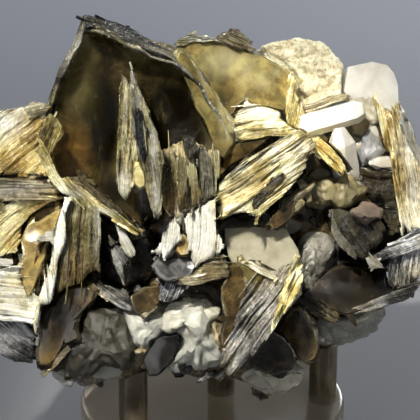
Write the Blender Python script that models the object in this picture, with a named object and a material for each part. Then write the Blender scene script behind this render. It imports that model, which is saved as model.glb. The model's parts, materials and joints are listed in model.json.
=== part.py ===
"""Muscovite specimen: books of mica grown with quartz and albite, resting on a round stand with three pegs.

The specimen is laid out in its own show frame, in millimetres: x to the right, z up and y away from the
viewer, with 0 at the middle of the show face. Outlines are (x, z) corners as a viewer VIEWER_DISTANCE away
sees them. The whole show frame then leans back by LEAN_BACK on the pegs.

Mica books are flat stacks of sheets. plate() gives one whose broad face is seen, and sheaf() gives one that
is seen edge on. Where two crystals meet, the one made later stops GAP short of the earlier one's face.
"""

import math
import random

import bmesh
import bpy
from mathutils import Matrix, Vector

MM = 0.001  # this file's sizes are in millimetres, and Blender's units here are metres
GAP = 0.3  # clearance between crystals that meet, and between a peg and what rests on it
LEDGE = 0.3  # depth over which one step of a book slopes to the next
MERGE_ANGLE = math.radians(2)  # faces that meet at less than this become one
MATRIX_MERGE_ANGLE = math.radians(4)
HULL_SLACK = 1.5  # how many GAPs the plain hull that cuts others stands off
HULL_MERGE_ANGLE = math.radians(7)

# Stand
BASE_RADIUS = 30.5
BASE_HEIGHT = 12.0
BASE_EDGE = 1.2  # width of the bevel round the base's rims
BASE_CENTRE = (0.5, 3.0)
BASE_SIDES = 44
PEG_RADIUS = 3.2
PEG_SOCKET_DEPTH = 6.0
PEG_BEVEL = 0.4
PEG_SIDES = 20
PEGS = {  # where each peg stands, in plan, and how high it comes above the base
    "stand_peg_front": (-17.0, -13.0, 15.5),
    "stand_peg_back": (2.6, 9.0, 14.5),
    "stand_peg_right": (26.2, 5.0, 12.6),
}

# Specimen
LEAN_BACK = math.radians(22)
SHOW_CENTRE_HEIGHT = 59.3  # height of the middle of the show face above the table
VIEWER_DISTANCE = 385.0

MATRIX_VOXEL = 2.2
MATRIX_DETAIL = 0.12  # share of the voxel mesh's faces that the matrix keeps
MATRIX_ROUGHNESS = 0.55  # how far the matrix's corners are moved at random

TONES = {  # base colour and roughness of each kind of mineral surface
    "muscovite_dark": ((0.045, 0.035, 0.020), 0.25),
    "muscovite_brown": ((0.16, 0.10, 0.04), 0.30),
    "muscovite_olive": ((0.30, 0.26, 0.12), 0.35),
    "muscovite_golden": ((0.52, 0.38, 0.14), 0.40),
    "muscovite_silver": ((0.66, 0.62, 0.48), 0.35),
    "quartz": ((0.62, 0.61, 0.55), 0.35),
    "albite": ((0.88, 0.86, 0.80), 0.30),
    "acrylic": ((0.72, 0.70, 0.62), 0.08),
    "peg_steel": ((0.10, 0.10, 0.10), 0.35),
}
METALS = ("peg_steel",)


def material(tone):
    """The shared material of one kind of surface."""
    found = bpy.data.materials.get(tone)
    if found:
        return found
    colour, roughness = TONES[tone]
    made = bpy.data.materials.new(tone)
    made.use_nodes = True
    shader = made.node_tree.nodes["Principled BSDF"]
    shader.inputs["Base Color"].default_value = (*colour, 1)
    shader.inputs["Roughness"].default_value = roughness
    shader.inputs["Metallic"].default_value = 1.0 if tone in METALS else 0.0
    return made


def object_of(name, shape, tone=None):
    """A new object in the scene that holds the bmesh, which is in millimetres and is freed."""
    bmesh.ops.recalc_face_normals(shape, faces=shape.faces)
    bmesh.ops.scale(shape, vec=(MM, MM, MM), verts=shape.verts)
    mesh = bpy.data.meshes.new(name)
    shape.to_mesh(mesh)
    shape.free()
    made = bpy.data.objects.new(name, mesh)
    bpy.context.scene.collection.objects.link(made)
    if tone:
        mesh.materials.append(material(tone))
    return made


def as_cutter(tool):
    """Marks an object as a shape that only cuts others."""
    tool.hide_render = True
    tool.display_type = "WIRE"
    return tool


def loft(rings):
    """A closed bmesh through rings of points, each with as many points as the next, capped at both ends."""
    shape = bmesh.new()
    corners = [[shape.verts.new(point) for point in ring] for ring in rings]
    count = len(rings[0])
    for low, high in zip(corners, corners[1:]):
        for here in range(count):
            after = (here + 1) % count
            shape.faces.new((low[here], low[after], high[after], high[here]))
    shape.faces.new(corners[0])
    shape.faces.new(corners[-1])
    return shape


def close_hull(shape):
    """Turns a bmesh's points into their convex hull."""
    bmesh.ops.delete(shape, geom=shape.faces, context="FACES_ONLY")
    bmesh.ops.delete(shape, geom=shape.edges, context="EDGES_FACES")
    bmesh.ops.convex_hull(shape, input=shape.verts)
    inside = [vertex for vertex in shape.verts if not vertex.link_faces]
    bmesh.ops.delete(shape, geom=inside, context="VERTS")


def hull_round(points, axes):
    """A convex bmesh of few faces that keeps GAP or a little more outside the points."""
    shape = bmesh.new()
    reach = GAP * HULL_SLACK
    for point in points:
        for signs in range(8):
            moved = Vector(point)
            for bit, axis in enumerate(axes):
                moved += axis * (reach if signs >> bit & 1 else -reach)
            shape.verts.new(moved)
    bmesh.ops.remove_doubles(shape, verts=shape.verts, dist=0.01)
    close_hull(shape)
    bmesh.ops.dissolve_limit(shape, angle_limit=HULL_MERGE_ANGLE, verts=shape.verts, edges=shape.edges)
    close_hull(shape)
    return shape


class Plane:
    """The plane of a book's front sheet: u and v lie in it, and n points out of its front."""

    def __init__(self, centre, u, n):
        self.centre = Vector(centre)
        self.n = Vector(n).normalized()
        self.u = (Vector(u) - self.n * Vector(u).dot(self.n)).normalized()
        self.v = self.n.cross(self.u)

    def point(self, u, v, behind=0.0):
        return self.centre + self.u * u + self.v * v - self.n * behind

    def flat(self, point):
        arm = Vector(point) - self.centre
        return arm.dot(self.u), arm.dot(self.v)


class Crystal:
    """One crystal's solid, and the plain grown hull that its neighbours are cut back from."""

    made = []

    def __init__(self, name, tone, rings, axes):
        points = [point for ring in rings for point in ring]
        self.solid = object_of(name, loft(rings), tone)
        self.rooms = [as_cutter(object_of("room_" + name, hull_round(points, axes)))]
        Crystal.made.append(self)

    def graft_onto(self, parent):
        """Joins this crystal to the one that it grows from, as one solid."""
        join = parent.solid.modifiers.new("graft", "BOOLEAN")
        join.operation = "UNION"
        join.solver = "EXACT"
        join.object = as_cutter(self.solid)
        bake(parent.solid)
        parent.rooms += self.rooms
        Crystal.made.remove(self)


def book(name, tone, plane, bands, dish=0.0):
    """A mica book from bands of sheets, each (depth, depth, outline). dish hollows its front face."""
    rings = []
    if dish:
        first = bands[0][2]
        for deep, size in ((dish, 0.45), (dish * 0.72, 0.72), (dish * 0.2, 0.92)):
            rings.append([plane.point(u * size, v * size, deep) for u, v in first])
    for place, (low, high, outline) in enumerate(bands):
        low += LEDGE / 2 if place else 0
        high -= LEDGE / 2 if place < len(bands) - 1 else 0
        for deep in (low, high):
            rings.append([plane.point(u, v, deep) for u, v in outline])
    return Crystal(name, tone, rings, (plane.u, plane.v, plane.n))


def band_levels(chance, thick, steps):
    """Depths at which a book's steps start and end, unevenly spaced."""
    widths = [chance.uniform(0.6, 1.4) for _ in range(steps)]
    levels = [0.0]
    for width in widths:
        levels.append(levels[-1] + width * thick / sum(widths))
    return levels


def plate(name, tone, corners, depth, thick, turn=0, tip=0, steps=3, growth=0.03, dish=0.0):
    """A book seen face on, by the corners of its front face as seen. depth is y at their middle.

    turn swings the face to the viewer's right and tip tilts it up, both in degrees. growth is how much
    wider the book is at its back.
    """
    chance = random.Random(name)
    turn, tip = math.radians(turn), math.radians(tip)
    n = Vector((math.sin(turn) * math.cos(tip), -math.cos(turn) * math.cos(tip), math.sin(tip)))
    scale = 1 + depth / VIEWER_DISTANCE
    middle_x = scale * sum(x for x, _ in corners) / len(corners)
    middle_z = scale * sum(z for _, z in corners) / len(corners)
    plane = Plane((middle_x, depth, middle_z), (1, 0, 0), n)
    viewer = Vector((0, -VIEWER_DISTANCE, 0))
    outline = []
    for x, z in corners:
        sight = Vector((x, VIEWER_DISTANCE, z))
        outline.append(plane.flat(viewer + sight * (n.dot(plane.centre - viewer) / n.dot(sight))))
    levels = band_levels(chance, thick, steps)
    give = [chance.uniform(0.5, 1.0) for _ in outline]
    bands = []
    for step in range(steps):
        share = step / max(1, steps - 1)
        size = growth * share - 0.03 * (step % 2)
        ring = [(u * (1 + size * g), v * (1 + size * g)) for (u, v), g in zip(outline, give)]
        bands.append((levels[step], levels[step + 1], ring))
    return book(name, tone, plane, bands, dish)


def reach_at(outline, level):
    """The least and greatest u where an outline of (u, w) corners crosses a level of w."""
    crossings = []
    for (u0, w0), (u1, w1) in zip(outline, outline[1:] + outline[:1]):
        if (w0 - level) * (w1 - level) <= 0 and w0 != w1:
            crossings.append(u0 + (u1 - u0) * (level - w0) / (w1 - w0))
    return min(crossings), max(crossings)


def sheaf(name, tone, profile, front, back, lie=None, roll=0, steps=4, cut=0.16):
    """A book seen edge on, by the corners of its profile as seen. front and back are its reach in y.

    Its sheets run from the first corner to the second, or at lie, in degrees up from the right. roll turns
    it about its length, in degrees. cut is the share of its length that its corners lose.
    """
    chance = random.Random(name)
    middle_y = (front + back) / 2
    scale = 1 + middle_y / VIEWER_DISTANCE
    profile = [Vector((x * scale, 0, z * scale)) for x, z in profile]
    along = (profile[1] - profile[0]).normalized()
    if lie is not None:
        along = Vector((math.cos(math.radians(lie)), 0, math.sin(math.radians(lie))))
    across = Vector((-along.z, 0, along.x))
    flat = [(p.dot(along), p.dot(across)) for p in profile]
    low = min(w for _, w in flat)
    high = max(w for _, w in flat)
    thick = high - low
    mid_u = sum(u for u, _ in flat) / len(flat)
    centre = along * mid_u + across * (low + high) / 2 + Vector((0, middle_y, 0))
    n = Matrix.Rotation(math.radians(roll), 3, along) @ across
    plane = Plane(centre + n * (thick / 2), along, n)
    levels = band_levels(chance, thick, steps)
    corner_cuts = [cut * chance.uniform(0.7, 1.4) for _ in range(4)]
    bands = []
    for step in range(steps):
        level = high - (levels[step] + levels[step + 1]) / 2
        start, end = reach_at(flat, level)
        length = end - start
        start -= mid_u + length * chance.uniform(-0.02, 0.03)
        end -= mid_u - length * chance.uniform(-0.02, 0.03)
        near = (front - middle_y) * chance.uniform(0.9, 1.05)
        far = (back - middle_y) * chance.uniform(0.9, 1.05)
        cuts = [length * share for share in corner_cuts]
        ring = [
            (start, 0), (start + cuts[0], near), (end - cuts[1], near),
            (end, 0), (end - cuts[2], far), (start + cuts[3], far),
        ]
        bands.append((levels[step], levels[step + 1], ring))
    return book(name, tone, plane, bands)


def prism(name, tone, start, end, radius, sides=6, tip_share=0.25, tip_size=0.35, flat=1.0, twist=0.0):
    """A flat-sided crystal from start to end, both (x, y, z), that narrows to a chisel tip at its end."""
    start, end = Vector(start), Vector(end)
    axis = (end - start).normalized()
    plane = Plane(start, axis.orthogonal(), -axis)
    length = (end - start).length
    rings = []
    for along, size in ((0, 0.92), (0.1, 1.0), (1 - tip_share, 0.96), (1, tip_size)):
        ring = []
        for side in range(sides):
            angle = twist + 2 * math.pi * side / sides
            ring.append((math.cos(angle) * radius * size, math.sin(angle) * radius * size * flat))
        rings.append([plane.point(u, v, along * length) for u, v in ring])
    return Crystal(name, tone, rings, (plane.u, plane.v, plane.n))


def muscovite_upper():
    """The large dark book, the fins that stand out of its face, and the books behind its right shoulder."""
    plate(
        "muscovite_book_main", "muscovite_dark",
        corners=[
            (-28.6, 41.1), (-25.3, 40.3), (-22.0, 38.7), (-17.2, 36.7), (-12.8, 35.4),
            (-7.9, 33.9), (-2.6, 29.0), (1.8, 22.0), (4.4, 15.8), (2.4, 11.4), (-15.2, -4.6),
            (-24.2, 0.0), (-33.7, 5.9), (-37.4, 13.2), (-36.1, 20.7), (-34.1, 28.6), (-31.0, 34.3),
        ],
        depth=-12.0, thick=8.0, tip=-22, turn=0, steps=3, growth=0.02, dish=4.0,
    )
    sheaf(
        "muscovite_fin_left", "muscovite_silver",
        profile=[
            (-19.6, 29.7), (-20.0, 13.2), (-20.7, 6.2), (-19.6, 3.7), (-18.5, 2.6), (-16.9, 5.7),
            (-16.7, 13.2), (-17.4, 26.4), (-18.7, 30.4),
        ],
        front=-25.0, back=-8.0, steps=4, cut=0.22, roll=8,
    )
    sheaf(
        "muscovite_fin_right", "muscovite_silver",
        profile=[
            (-16.5, 30.4), (-14.1, 3.3), (-12.5, -0.4), (-11.2, -2.4), (-10.8, 2.2), (-10.1, 9.9),
            (-11.4, 17.6), (-14.1, 26.0), (-15.4, 31.7), (-16.9, 33.4),
        ],
        front=-26.0, back=-8.0, steps=5, cut=0.22, roll=-6,
    )
    sheaf(
        "muscovite_blade_under_main", "muscovite_silver",
        profile=[
            (-33.4, 6.6), (-15.2, -4.4), (-15.6, -5.5), (-21.6, -1.8), (-27.7, 1.3), (-33.0, 3.5),
            (-36.1, 7.0), (-35.6, 8.4),
        ],
        front=-13.0, back=1.0, steps=2, cut=0.08, roll=12,
    )
    sheaf(
        "muscovite_sheaf_centre_low", "muscovite_silver",
        profile=[
            (-7.5, -1.3), (-4.4, -7.9), (-2.6, -12.8), (2.2, -10.1), (2.4, -6.2), (1.3, -1.3),
            (1.5, 4.4), (-0.7, 2.9), (-3.1, 1.3),
        ],
        front=-23.0, back=-5.0, steps=5, cut=0.16,
    )
    sheaf(
        "muscovite_tongue_centre_low", "muscovite_silver",
        profile=[
            (-8.6, -2.4), (-11.2, -5.7), (-11.2, -9.7), (-10.1, -11.0), (-8.4, -8.8), (-6.8, -5.7),
            (-7.3, -2.0),
        ],
        front=-21.5, back=-8.0, steps=3, cut=0.2,
    )
    sheaf(
        "muscovite_sheaf_centre", "muscovite_olive",
        profile=[
            (-9.5, 14.1), (-11.0, 3.1), (-10.1, -1.3), (-7.9, -2.6), (-5.3, -2.6), (-2.2, 2.2),
            (1.5, 4.8), (1.5, 12.8), (-1.5, 13.6), (-3.1, 15.0), (-5.7, 16.3),
        ],
        front=-20.5, back=-3.0, steps=6, cut=0.12,
    )
    plate(
        "muscovite_book_upper_right", "muscovite_olive",
        corners=[
            (-5.3, 37.4), (-2.2, 38.1), (0.9, 37.4), (4.4, 38.7), (8.8, 36.1), (12.8, 33.9),
            (16.3, 31.7), (18.3, 29.0), (18.3, 22.4), (11.4, 19.8), (4.8, 20.2), (-1.1, 27.7),
        ],
        depth=-2.0, thick=5.0, tip=-8, turn=-6, steps=3, growth=0.02,
    )
    plate(
        "muscovite_book_crest", "muscovite_silver",
        corners=[
            (11.4, 36.5), (16.5, 37.4), (19.8, 37.8), (24.2, 37.2), (26.6, 35.0), (29.5, 31.7),
            (28.8, 25.3), (26.4, 23.3), (21.1, 21.1), (18.0, 20.2), (14.5, 30.8),
        ],
        depth=2.0, thick=10.0, tip=14, turn=10, steps=4, growth=0.04,
    )
    plate(
        "muscovite_flake_shoulder", "muscovite_olive",
        corners=[
            (-36.7, 19.4), (-34.1, 20.5), (-31.7, 17.6), (-32.3, 14.1), (-35.2, 9.7),
            (-36.7, 11.4), (-37.4, 15.4),
        ],
        depth=-16.5, thick=2.2, turn=-30, tip=-16, steps=2,
    )


def muscovite_right():
    """The bundles that run down the right side, and the books round the lower right corner."""
    sheaf(
        "muscovite_sheaf_diagonal", "muscovite_silver",
        profile=[
            (2.6, 7.5), (16.9, 17.4), (20.2, 18.0), (23.3, 15.6), (24.4, 13.4), (21.1, 11.4),
            (20.5, 8.8), (19.4, 5.9), (14.5, 2.2), (9.2, -2.4), (6.6, -2.6), (1.8, -0.4),
            (1.8, 4.0),
        ],
        front=-21.0, back=0.0, roll=6, steps=6, cut=0.14,
    )
    sheaf(
        "muscovite_sheaf_diagonal_foot", "muscovite_golden",
        profile=[
            (9.2, -3.1), (14.5, 0.9), (17.6, 4.4), (20.2, 7.5), (21.1, 5.3), (17.6, 0.9),
            (12.8, -2.6),
        ],
        front=-17.0, back=-2.0, roll=8, steps=3,
    )
    sheaf(
        "muscovite_blade_roof", "muscovite_golden",
        profile=[(22.9, 13.2), (29.0, 7.9), (30.8, 8.4), (28.6, 11.4), (26.0, 14.5), (24.2, 15.0)],
        front=-15.0, back=-1.0, steps=3, cut=0.12,
    )
    sheaf(
        "muscovite_sheaf_saddle", "muscovite_silver",
        profile=[
            (3.5, 18.9), (16.3, 16.7), (20.2, 18.5), (17.6, 20.7), (14.5, 22.4), (10.6, 22.7),
            (7.5, 24.0), (5.3, 21.6),
        ],
        front=-13.0, back=2.0, roll=10, steps=5, cut=0.12,
    )
    plate(
        "muscovite_plate_saddle_brown", "muscovite_brown",
        corners=[
            (5.7, 15.0), (11.4, 15.8), (15.8, 16.3), (11.4, 12.8), (4.8, 8.4), (2.6, 7.0),
            (2.2, 10.6), (4.4, 13.6),
        ],
        depth=-7.0, thick=3.0, tip=-20, turn=-10, steps=2,
    )
    sheaf(
        "muscovite_book_right_edge", "muscovite_golden",
        profile=[
            (38.5, 18.0), (42.7, -4.8), (49.7, -5.3), (48.4, 5.3), (44.9, 13.2), (42.2, 17.6),
            (41.4, 21.6), (37.4, 23.1),
        ],
        front=-11.0, back=12.0, roll=-10, steps=5, cut=0.16,
    )
    plate(
        "muscovite_book_right_inner", "muscovite_brown",
        corners=[
            (31.5, 8.8), (35.6, 9.5), (40.0, 8.6), (42.0, 5.7), (42.5, 0.9), (41.8, -4.4),
            (38.7, -3.5), (36.1, 1.3), (33.0, 4.0),
        ],
        depth=-3.0, thick=5.0, turn=-16, tip=6, steps=3,
    )
    sheaf(
        "muscovite_book_right_fan", "muscovite_dark",
        profile=[
            (25.5, 1.1), (27.7, -3.5), (29.5, -7.9), (34.3, -11.9), (36.5, -13.2), (38.3, -9.2),
            (36.5, -2.6), (31.2, 1.1),
        ],
        front=-16.0, back=1.0, roll=-12, steps=6, cut=0.1,
    )
    sheaf(
        "muscovite_sheaf_right_low", "muscovite_silver",
        profile=[
            (37.0, -9.7), (42.2, -6.6), (48.8, -4.6), (48.8, -7.5), (43.6, -8.4), (39.2, -10.1),
            (36.1, -11.9),
        ],
        front=-14.0, back=4.0, roll=6, steps=3, cut=0.14,
    )
    plate(
        "muscovite_plate_right_low", "muscovite_silver",
        corners=[
            (39.2, -11.4), (41.8, -8.8), (45.8, -7.5), (48.8, -8.4), (48.4, -12.3), (44.4, -14.5),
            (41.4, -17.2), (39.6, -16.5),
        ],
        depth=-11.5, thick=2.6, turn=10, tip=6, steps=2,
    )
    plate(
        "muscovite_book_lower_right", "muscovite_dark",
        corners=[
            (19.8, -18.9), (23.8, -13.6), (29.0, -11.4), (33.9, -11.4), (37.0, -13.6),
            (40.0, -17.2), (44.0, -15.4), (48.8, -13.2), (48.4, -16.3), (42.7, -19.4),
            (37.0, -22.0), (30.4, -23.5), (24.6, -21.6),
        ],
        depth=-8.0, thick=5.0, tip=22, turn=4, steps=3, growth=0.03,
    )


def muscovite_lower():
    """The curved book low in the middle, the dark plates under it, and the flakes in the dark recess."""
    sheaf(
        "muscovite_book_lower_fan", "muscovite_silver",
        profile=[
            (20.7, -16.7), (7.3, -33.0), (4.6, -37.0), (2.0, -33.4), (4.8, -28.6), (9.2, -22.4),
            (13.6, -17.6), (17.6, -14.1), (19.6, -11.4),
        ],
        front=-26.0, back=-5.0, roll=-10, steps=6, cut=0.16,
    )
    plate(
        "muscovite_book_lower_brown", "muscovite_brown",
        corners=[
            (6.2, -11.9), (8.8, -11.2), (12.3, -12.8), (15.8, -16.3), (14.5, -18.9), (11.4, -23.3),
            (7.5, -26.4), (6.6, -23.8), (7.9, -19.4), (5.7, -15.4),
        ],
        depth=-18.0, thick=4.0, turn=-22, tip=12, steps=3,
    )
    plate(
        "muscovite_plate_dark_left", "muscovite_dark",
        corners=[
            (8.4, -33.9), (11.4, -30.4), (14.1, -27.3), (17.2, -29.0), (18.3, -32.6),
            (17.4, -35.4), (11.9, -35.9),
        ],
        depth=-14.0, thick=3.2, turn=10, tip=-6, steps=2,
    )
    plate(
        "muscovite_plate_dark_right", "muscovite_dark",
        corners=[
            (16.3, -24.6), (20.2, -22.4), (22.9, -27.3), (24.2, -31.7), (22.4, -34.8),
            (19.4, -33.4), (17.6, -29.0),
        ],
        depth=-9.5, thick=3.2, turn=18, tip=-6, steps=2,
    )
    sheaf(
        "muscovite_sheaf_ledge", "muscovite_silver",
        profile=[
            (-8.8, -16.3), (-2.2, -14.5), (4.0, -14.7), (4.4, -12.3), (3.5, -10.6), (0.0, -11.0),
            (-3.5, -12.8), (-7.5, -14.5),
        ],
        front=-22.0, back=-5.0, roll=10, steps=4, cut=0.12,
    )
    plate(
        "muscovite_plate_glassy", "muscovite_brown",
        corners=[
            (-13.4, -12.5), (-11.9, -9.9), (-9.2, -8.8), (-6.2, -9.2), (-3.7, -11.9),
            (-3.1, -13.9), (-6.6, -15.2), (-9.7, -15.4), (-11.9, -14.5),
        ],
        depth=-17.0, thick=2.4, turn=-10, tip=10, steps=2,
    )
    plate(
        "muscovite_plate_amber", "muscovite_brown",
        corners=[
            (-18.0, -18.9), (-15.0, -16.7), (-9.7, -15.6), (-9.2, -17.8), (-11.0, -21.1),
            (-13.2, -22.9), (-15.4, -23.1), (-17.2, -21.6),
        ],
        depth=-15.5, thick=2.4, turn=8, tip=14, steps=2,
    )
    sheaf(
        "muscovite_blade_recess", "muscovite_silver",
        profile=[
            (-21.6, -1.3), (-18.7, -8.8), (-16.9, -10.6), (-16.1, -9.0), (-18.3, -6.6),
            (-20.0, -2.2),
        ],
        front=-15.0, back=-4.0, steps=2, cut=0.14,
    )
    sheaf(
        "muscovite_sheaf_recess_low", "muscovite_silver",
        profile=[(-24.6, -17.2), (-18.5, -22.2), (-16.7, -21.3), (-18.9, -17.2), (-21.1, -15.4)],
        front=-15.5, back=-4.0, roll=-8, steps=4, cut=0.12,
    )
    plate(
        "muscovite_flake_recess", "muscovite_silver",
        corners=[
            (-23.3, -5.7), (-21.1, -6.6), (-18.5, -9.2), (-16.9, -11.4), (-18.0, -17.6),
            (-20.2, -13.2), (-22.4, -9.2),
        ],
        depth=-11.5, thick=1.8, turn=-22, tip=4, steps=2,
    )
    plate(
        "muscovite_book_recess", "muscovite_dark",
        corners=[
            (-24.9, -0.9), (-20.7, -2.2), (-13.2, -5.7), (-11.4, -11.0), (-14.1, -15.8),
            (-18.0, -17.6), (-23.3, -16.3), (-24.9, -8.8),
        ],
        depth=-5.0, thick=5.0, turn=-8, tip=-12, steps=3,
    )
    plate(
        "muscovite_plate_black", "muscovite_dark",
        corners=[
            (-11.7, -27.7), (-6.6, -27.1), (-7.0, -30.8), (-9.2, -34.3), (-11.4, -36.7),
            (-13.6, -36.7), (-14.5, -33.0),
        ],
        depth=-14.5, thick=3.0, turn=-14, tip=-4, steps=2,
    )


def muscovite_left():
    """The crowd of books along the left side, from the top down."""
    rim = sheaf(
        "muscovite_blade_left_rim", "muscovite_silver",
        profile=[
            (-31.2, 3.1), (-35.9, -20.2), (-34.8, -20.7), (-33.0, -13.6), (-31.5, -6.2),
            (-31.7, -3.5), (-30.4, 2.2),
        ],
        front=-20.0, back=-5.0, steps=2, cut=0.12,
    )
    branch = sheaf(
        "muscovite_blade_left_branch", "muscovite_silver",
        profile=[(-38.9, -6.6), (-33.4, -5.7), (-32.6, -4.4), (-34.3, -4.4), (-38.3, -5.7)],
        front=-18.0, back=-8.0, steps=1, cut=0.2,
    )
    branch.graft_onto(rim)
    sheaf(
        "muscovite_book_left_upright", "muscovite_olive",
        profile=[
            (-26.8, 1.5), (-24.6, -13.2), (-27.7, -17.6), (-30.8, -20.0), (-33.9, -20.2),
            (-33.4, -14.5), (-31.7, -5.7), (-30.4, 2.2), (-28.6, 2.6),
        ],
        front=-17.5, back=0.0, roll=10, steps=6, cut=0.12,
    )
    sheaf(
        "muscovite_sheaf_left_top", "muscovite_golden",
        profile=[
            (-49.3, 21.1), (-44.4, 22.0), (-40.9, 22.9), (-35.9, 22.7), (-36.5, 18.9),
            (-37.8, 11.4), (-39.6, 7.9), (-46.2, 7.5), (-49.3, 8.8),
        ],
        lie=44, front=-10.0, back=9.0, roll=8, steps=7, cut=0.12,
    )
    sheaf(
        "muscovite_sheaf_left_upper", "muscovite_silver",
        profile=[
            (-49.3, 2.4), (-32.6, 2.2), (-31.7, 3.1), (-34.1, 4.8), (-36.5, 6.6), (-43.6, 6.8),
            (-49.3, 6.2),
        ],
        front=-13.0, back=4.0, roll=6, steps=5, cut=0.1,
    )
    sheaf(
        "muscovite_sheaf_left_slope", "muscovite_golden",
        profile=[
            (-49.3, -6.2), (-40.9, 1.5), (-34.8, 1.8), (-37.4, -0.9), (-40.5, -3.1), (-41.8, -6.6),
            (-42.7, -9.0), (-49.3, -9.2),
        ],
        front=-12.0, back=5.0, roll=8, steps=5, cut=0.12,
    )
    plate(
        "muscovite_plate_left_scoop", "muscovite_golden",
        corners=[
            (-40.9, -4.6), (-39.2, -2.4), (-38.1, -6.6), (-38.3, -11.4), (-38.9, -15.8),
            (-40.3, -16.9), (-41.6, -14.5), (-41.8, -9.7),
        ],
        depth=-13.0, thick=2.6, turn=24, tip=0, steps=2,
    )
    plate(
        "muscovite_book_left_inner", "muscovite_brown",
        corners=[
            (-39.6, 0.9), (-32.6, 1.3), (-32.6, -4.8), (-33.9, -11.4), (-35.2, -18.0),
            (-39.2, -18.5), (-39.6, -11.4),
        ],
        depth=-6.0, thick=5.0, turn=14, tip=0, steps=3,
    )
    sheaf(
        "muscovite_sheaf_left_low", "muscovite_silver",
        profile=[
            (-49.3, -22.4), (-38.7, -24.6), (-37.8, -22.4), (-35.9, -19.8), (-38.3, -18.3),
            (-42.2, -13.2), (-49.3, -12.5),
        ],
        front=-14.5, back=4.0, roll=6, steps=6, cut=0.1,
    )
    sheaf(
        "muscovite_sheaf_left_bottom", "muscovite_dark",
        profile=[
            (-45.8, -24.6), (-38.7, -30.4), (-38.7, -33.4), (-42.7, -33.7), (-47.5, -31.2),
            (-49.3, -28.6), (-49.3, -23.8),
        ],
        front=-10.0, back=6.0, roll=8, steps=5, cut=0.12,
    )
    plate(
        "muscovite_book_left_foot", "muscovite_brown",
        corners=[
            (-37.8, -22.4), (-35.6, -20.5), (-33.4, -20.5), (-30.8, -22.9), (-28.6, -25.5),
            (-30.4, -29.9), (-33.4, -32.1), (-35.2, -35.2), (-38.3, -35.4), (-39.2, -33.0),
            (-38.7, -27.7),
        ],
        depth=-10.0, thick=4.0, turn=10, tip=-4, steps=3,
    )


def muscovite_back():
    """The books on the side away from the viewer, which stand out of the matrix in the same way."""
    plate(
        "muscovite_back_shoulder", "muscovite_olive",
        corners=[
            (-33.0, 6.0), (-30.0, 17.0), (-24.0, 27.0), (-14.0, 31.0), (-7.0, 26.0), (-5.0, 15.0), (-9.0, 4.0),
            (-14.0, -1.0), (-26.0, -2.0),
        ],
        depth=11.0, thick=6.0, turn=12, tip=-16, steps=4, growth=-0.12,
    )
    plate(
        "muscovite_back_crown", "muscovite_golden",
        corners=[
            (-2.0, 10.0), (-1.0, 20.0), (4.0, 28.0), (12.0, 30.0), (19.0, 29.0), (25.0, 21.0), (23.0, 9.0),
            (16.0, 6.0), (6.0, 4.0),
        ],
        depth=15.0, thick=6.0, turn=-14, tip=-20, steps=4, growth=-0.12,
    )
    sheaf(
        "muscovite_back_spine", "muscovite_silver",
        profile=[(-11.0, 16.0), (-6.0, -15.0), (0.0, -12.0), (-2.0, 6.0), (-6.0, 19.0)],
        front=8.0, back=27.0, roll=10, steps=4, cut=0.2,
    )
    sheaf(
        "muscovite_back_right", "muscovite_golden",
        profile=[(18.0, 9.0), (38.0, -3.0), (38.0, -9.0), (28.0, -6.0), (17.0, 2.0)],
        front=6.0, back=23.0, roll=-20, steps=4, cut=0.2,
    )
    sheaf(
        "muscovite_back_left", "muscovite_silver",
        profile=[(-43.0, -1.0), (-23.0, -9.0), (-23.0, -15.0), (-34.0, -11.0), (-43.0, -6.0)],
        front=5.0, back=21.0, roll=18, steps=4, cut=0.2,
    )


def pale_crystals():
    """The albite blades and the blocky quartz crystals that can be told apart from the matrix."""
    prism(
        "albite_blade", "albite", (19.4, -5.0, 17.8), (33.2, -8.0, 21.6), 2.9,
        flat=0.8, tip_share=0.12, tip_size=0.6, twist=0.3,
    )
    prism("albite_point", "albite", (29.6, -4.0, 6.4), (27.8, -8.5, 17.8), 3.8, flat=0.75, tip_share=0.3)
    prism("albite_chip", "albite", (40.4, -2.0, 10.4), (34.6, -6.5, 10.2), 1.6, sides=5, tip_share=0.3)
    prism(
        "albite_bar_left", "albite", (-42.4, -9.0, -10.6), (-49.4, -9.8, -11.4), 1.4, sides=5, tip_share=0.1,
    )
    plate(
        "quartz_crystal_centre", "quartz",
        corners=[
            (2.6, -4.2), (9.2, -3.7), (16.7, -4.2), (19.4, -8.8), (19.8, -11.9), (18.0, -16.7),
            (15.0, -15.6), (11.4, -12.8), (4.4, -11.4),
        ],
        depth=-14.5, thick=18.0, turn=4, tip=6, steps=1,
    )
    plate(
        "quartz_crystal_upper_right", "quartz",
        corners=[
            (30.4, 31.5), (35.6, 32.6), (38.9, 31.9), (40.5, 30.1), (41.4, 27.3), (41.4, 24.2),
            (41.8, 20.7), (40.0, 18.9), (36.5, 22.9), (32.6, 23.3), (29.5, 26.0),
        ],
        depth=4.0, thick=13.0, turn=8, tip=8, steps=1,
    )


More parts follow.
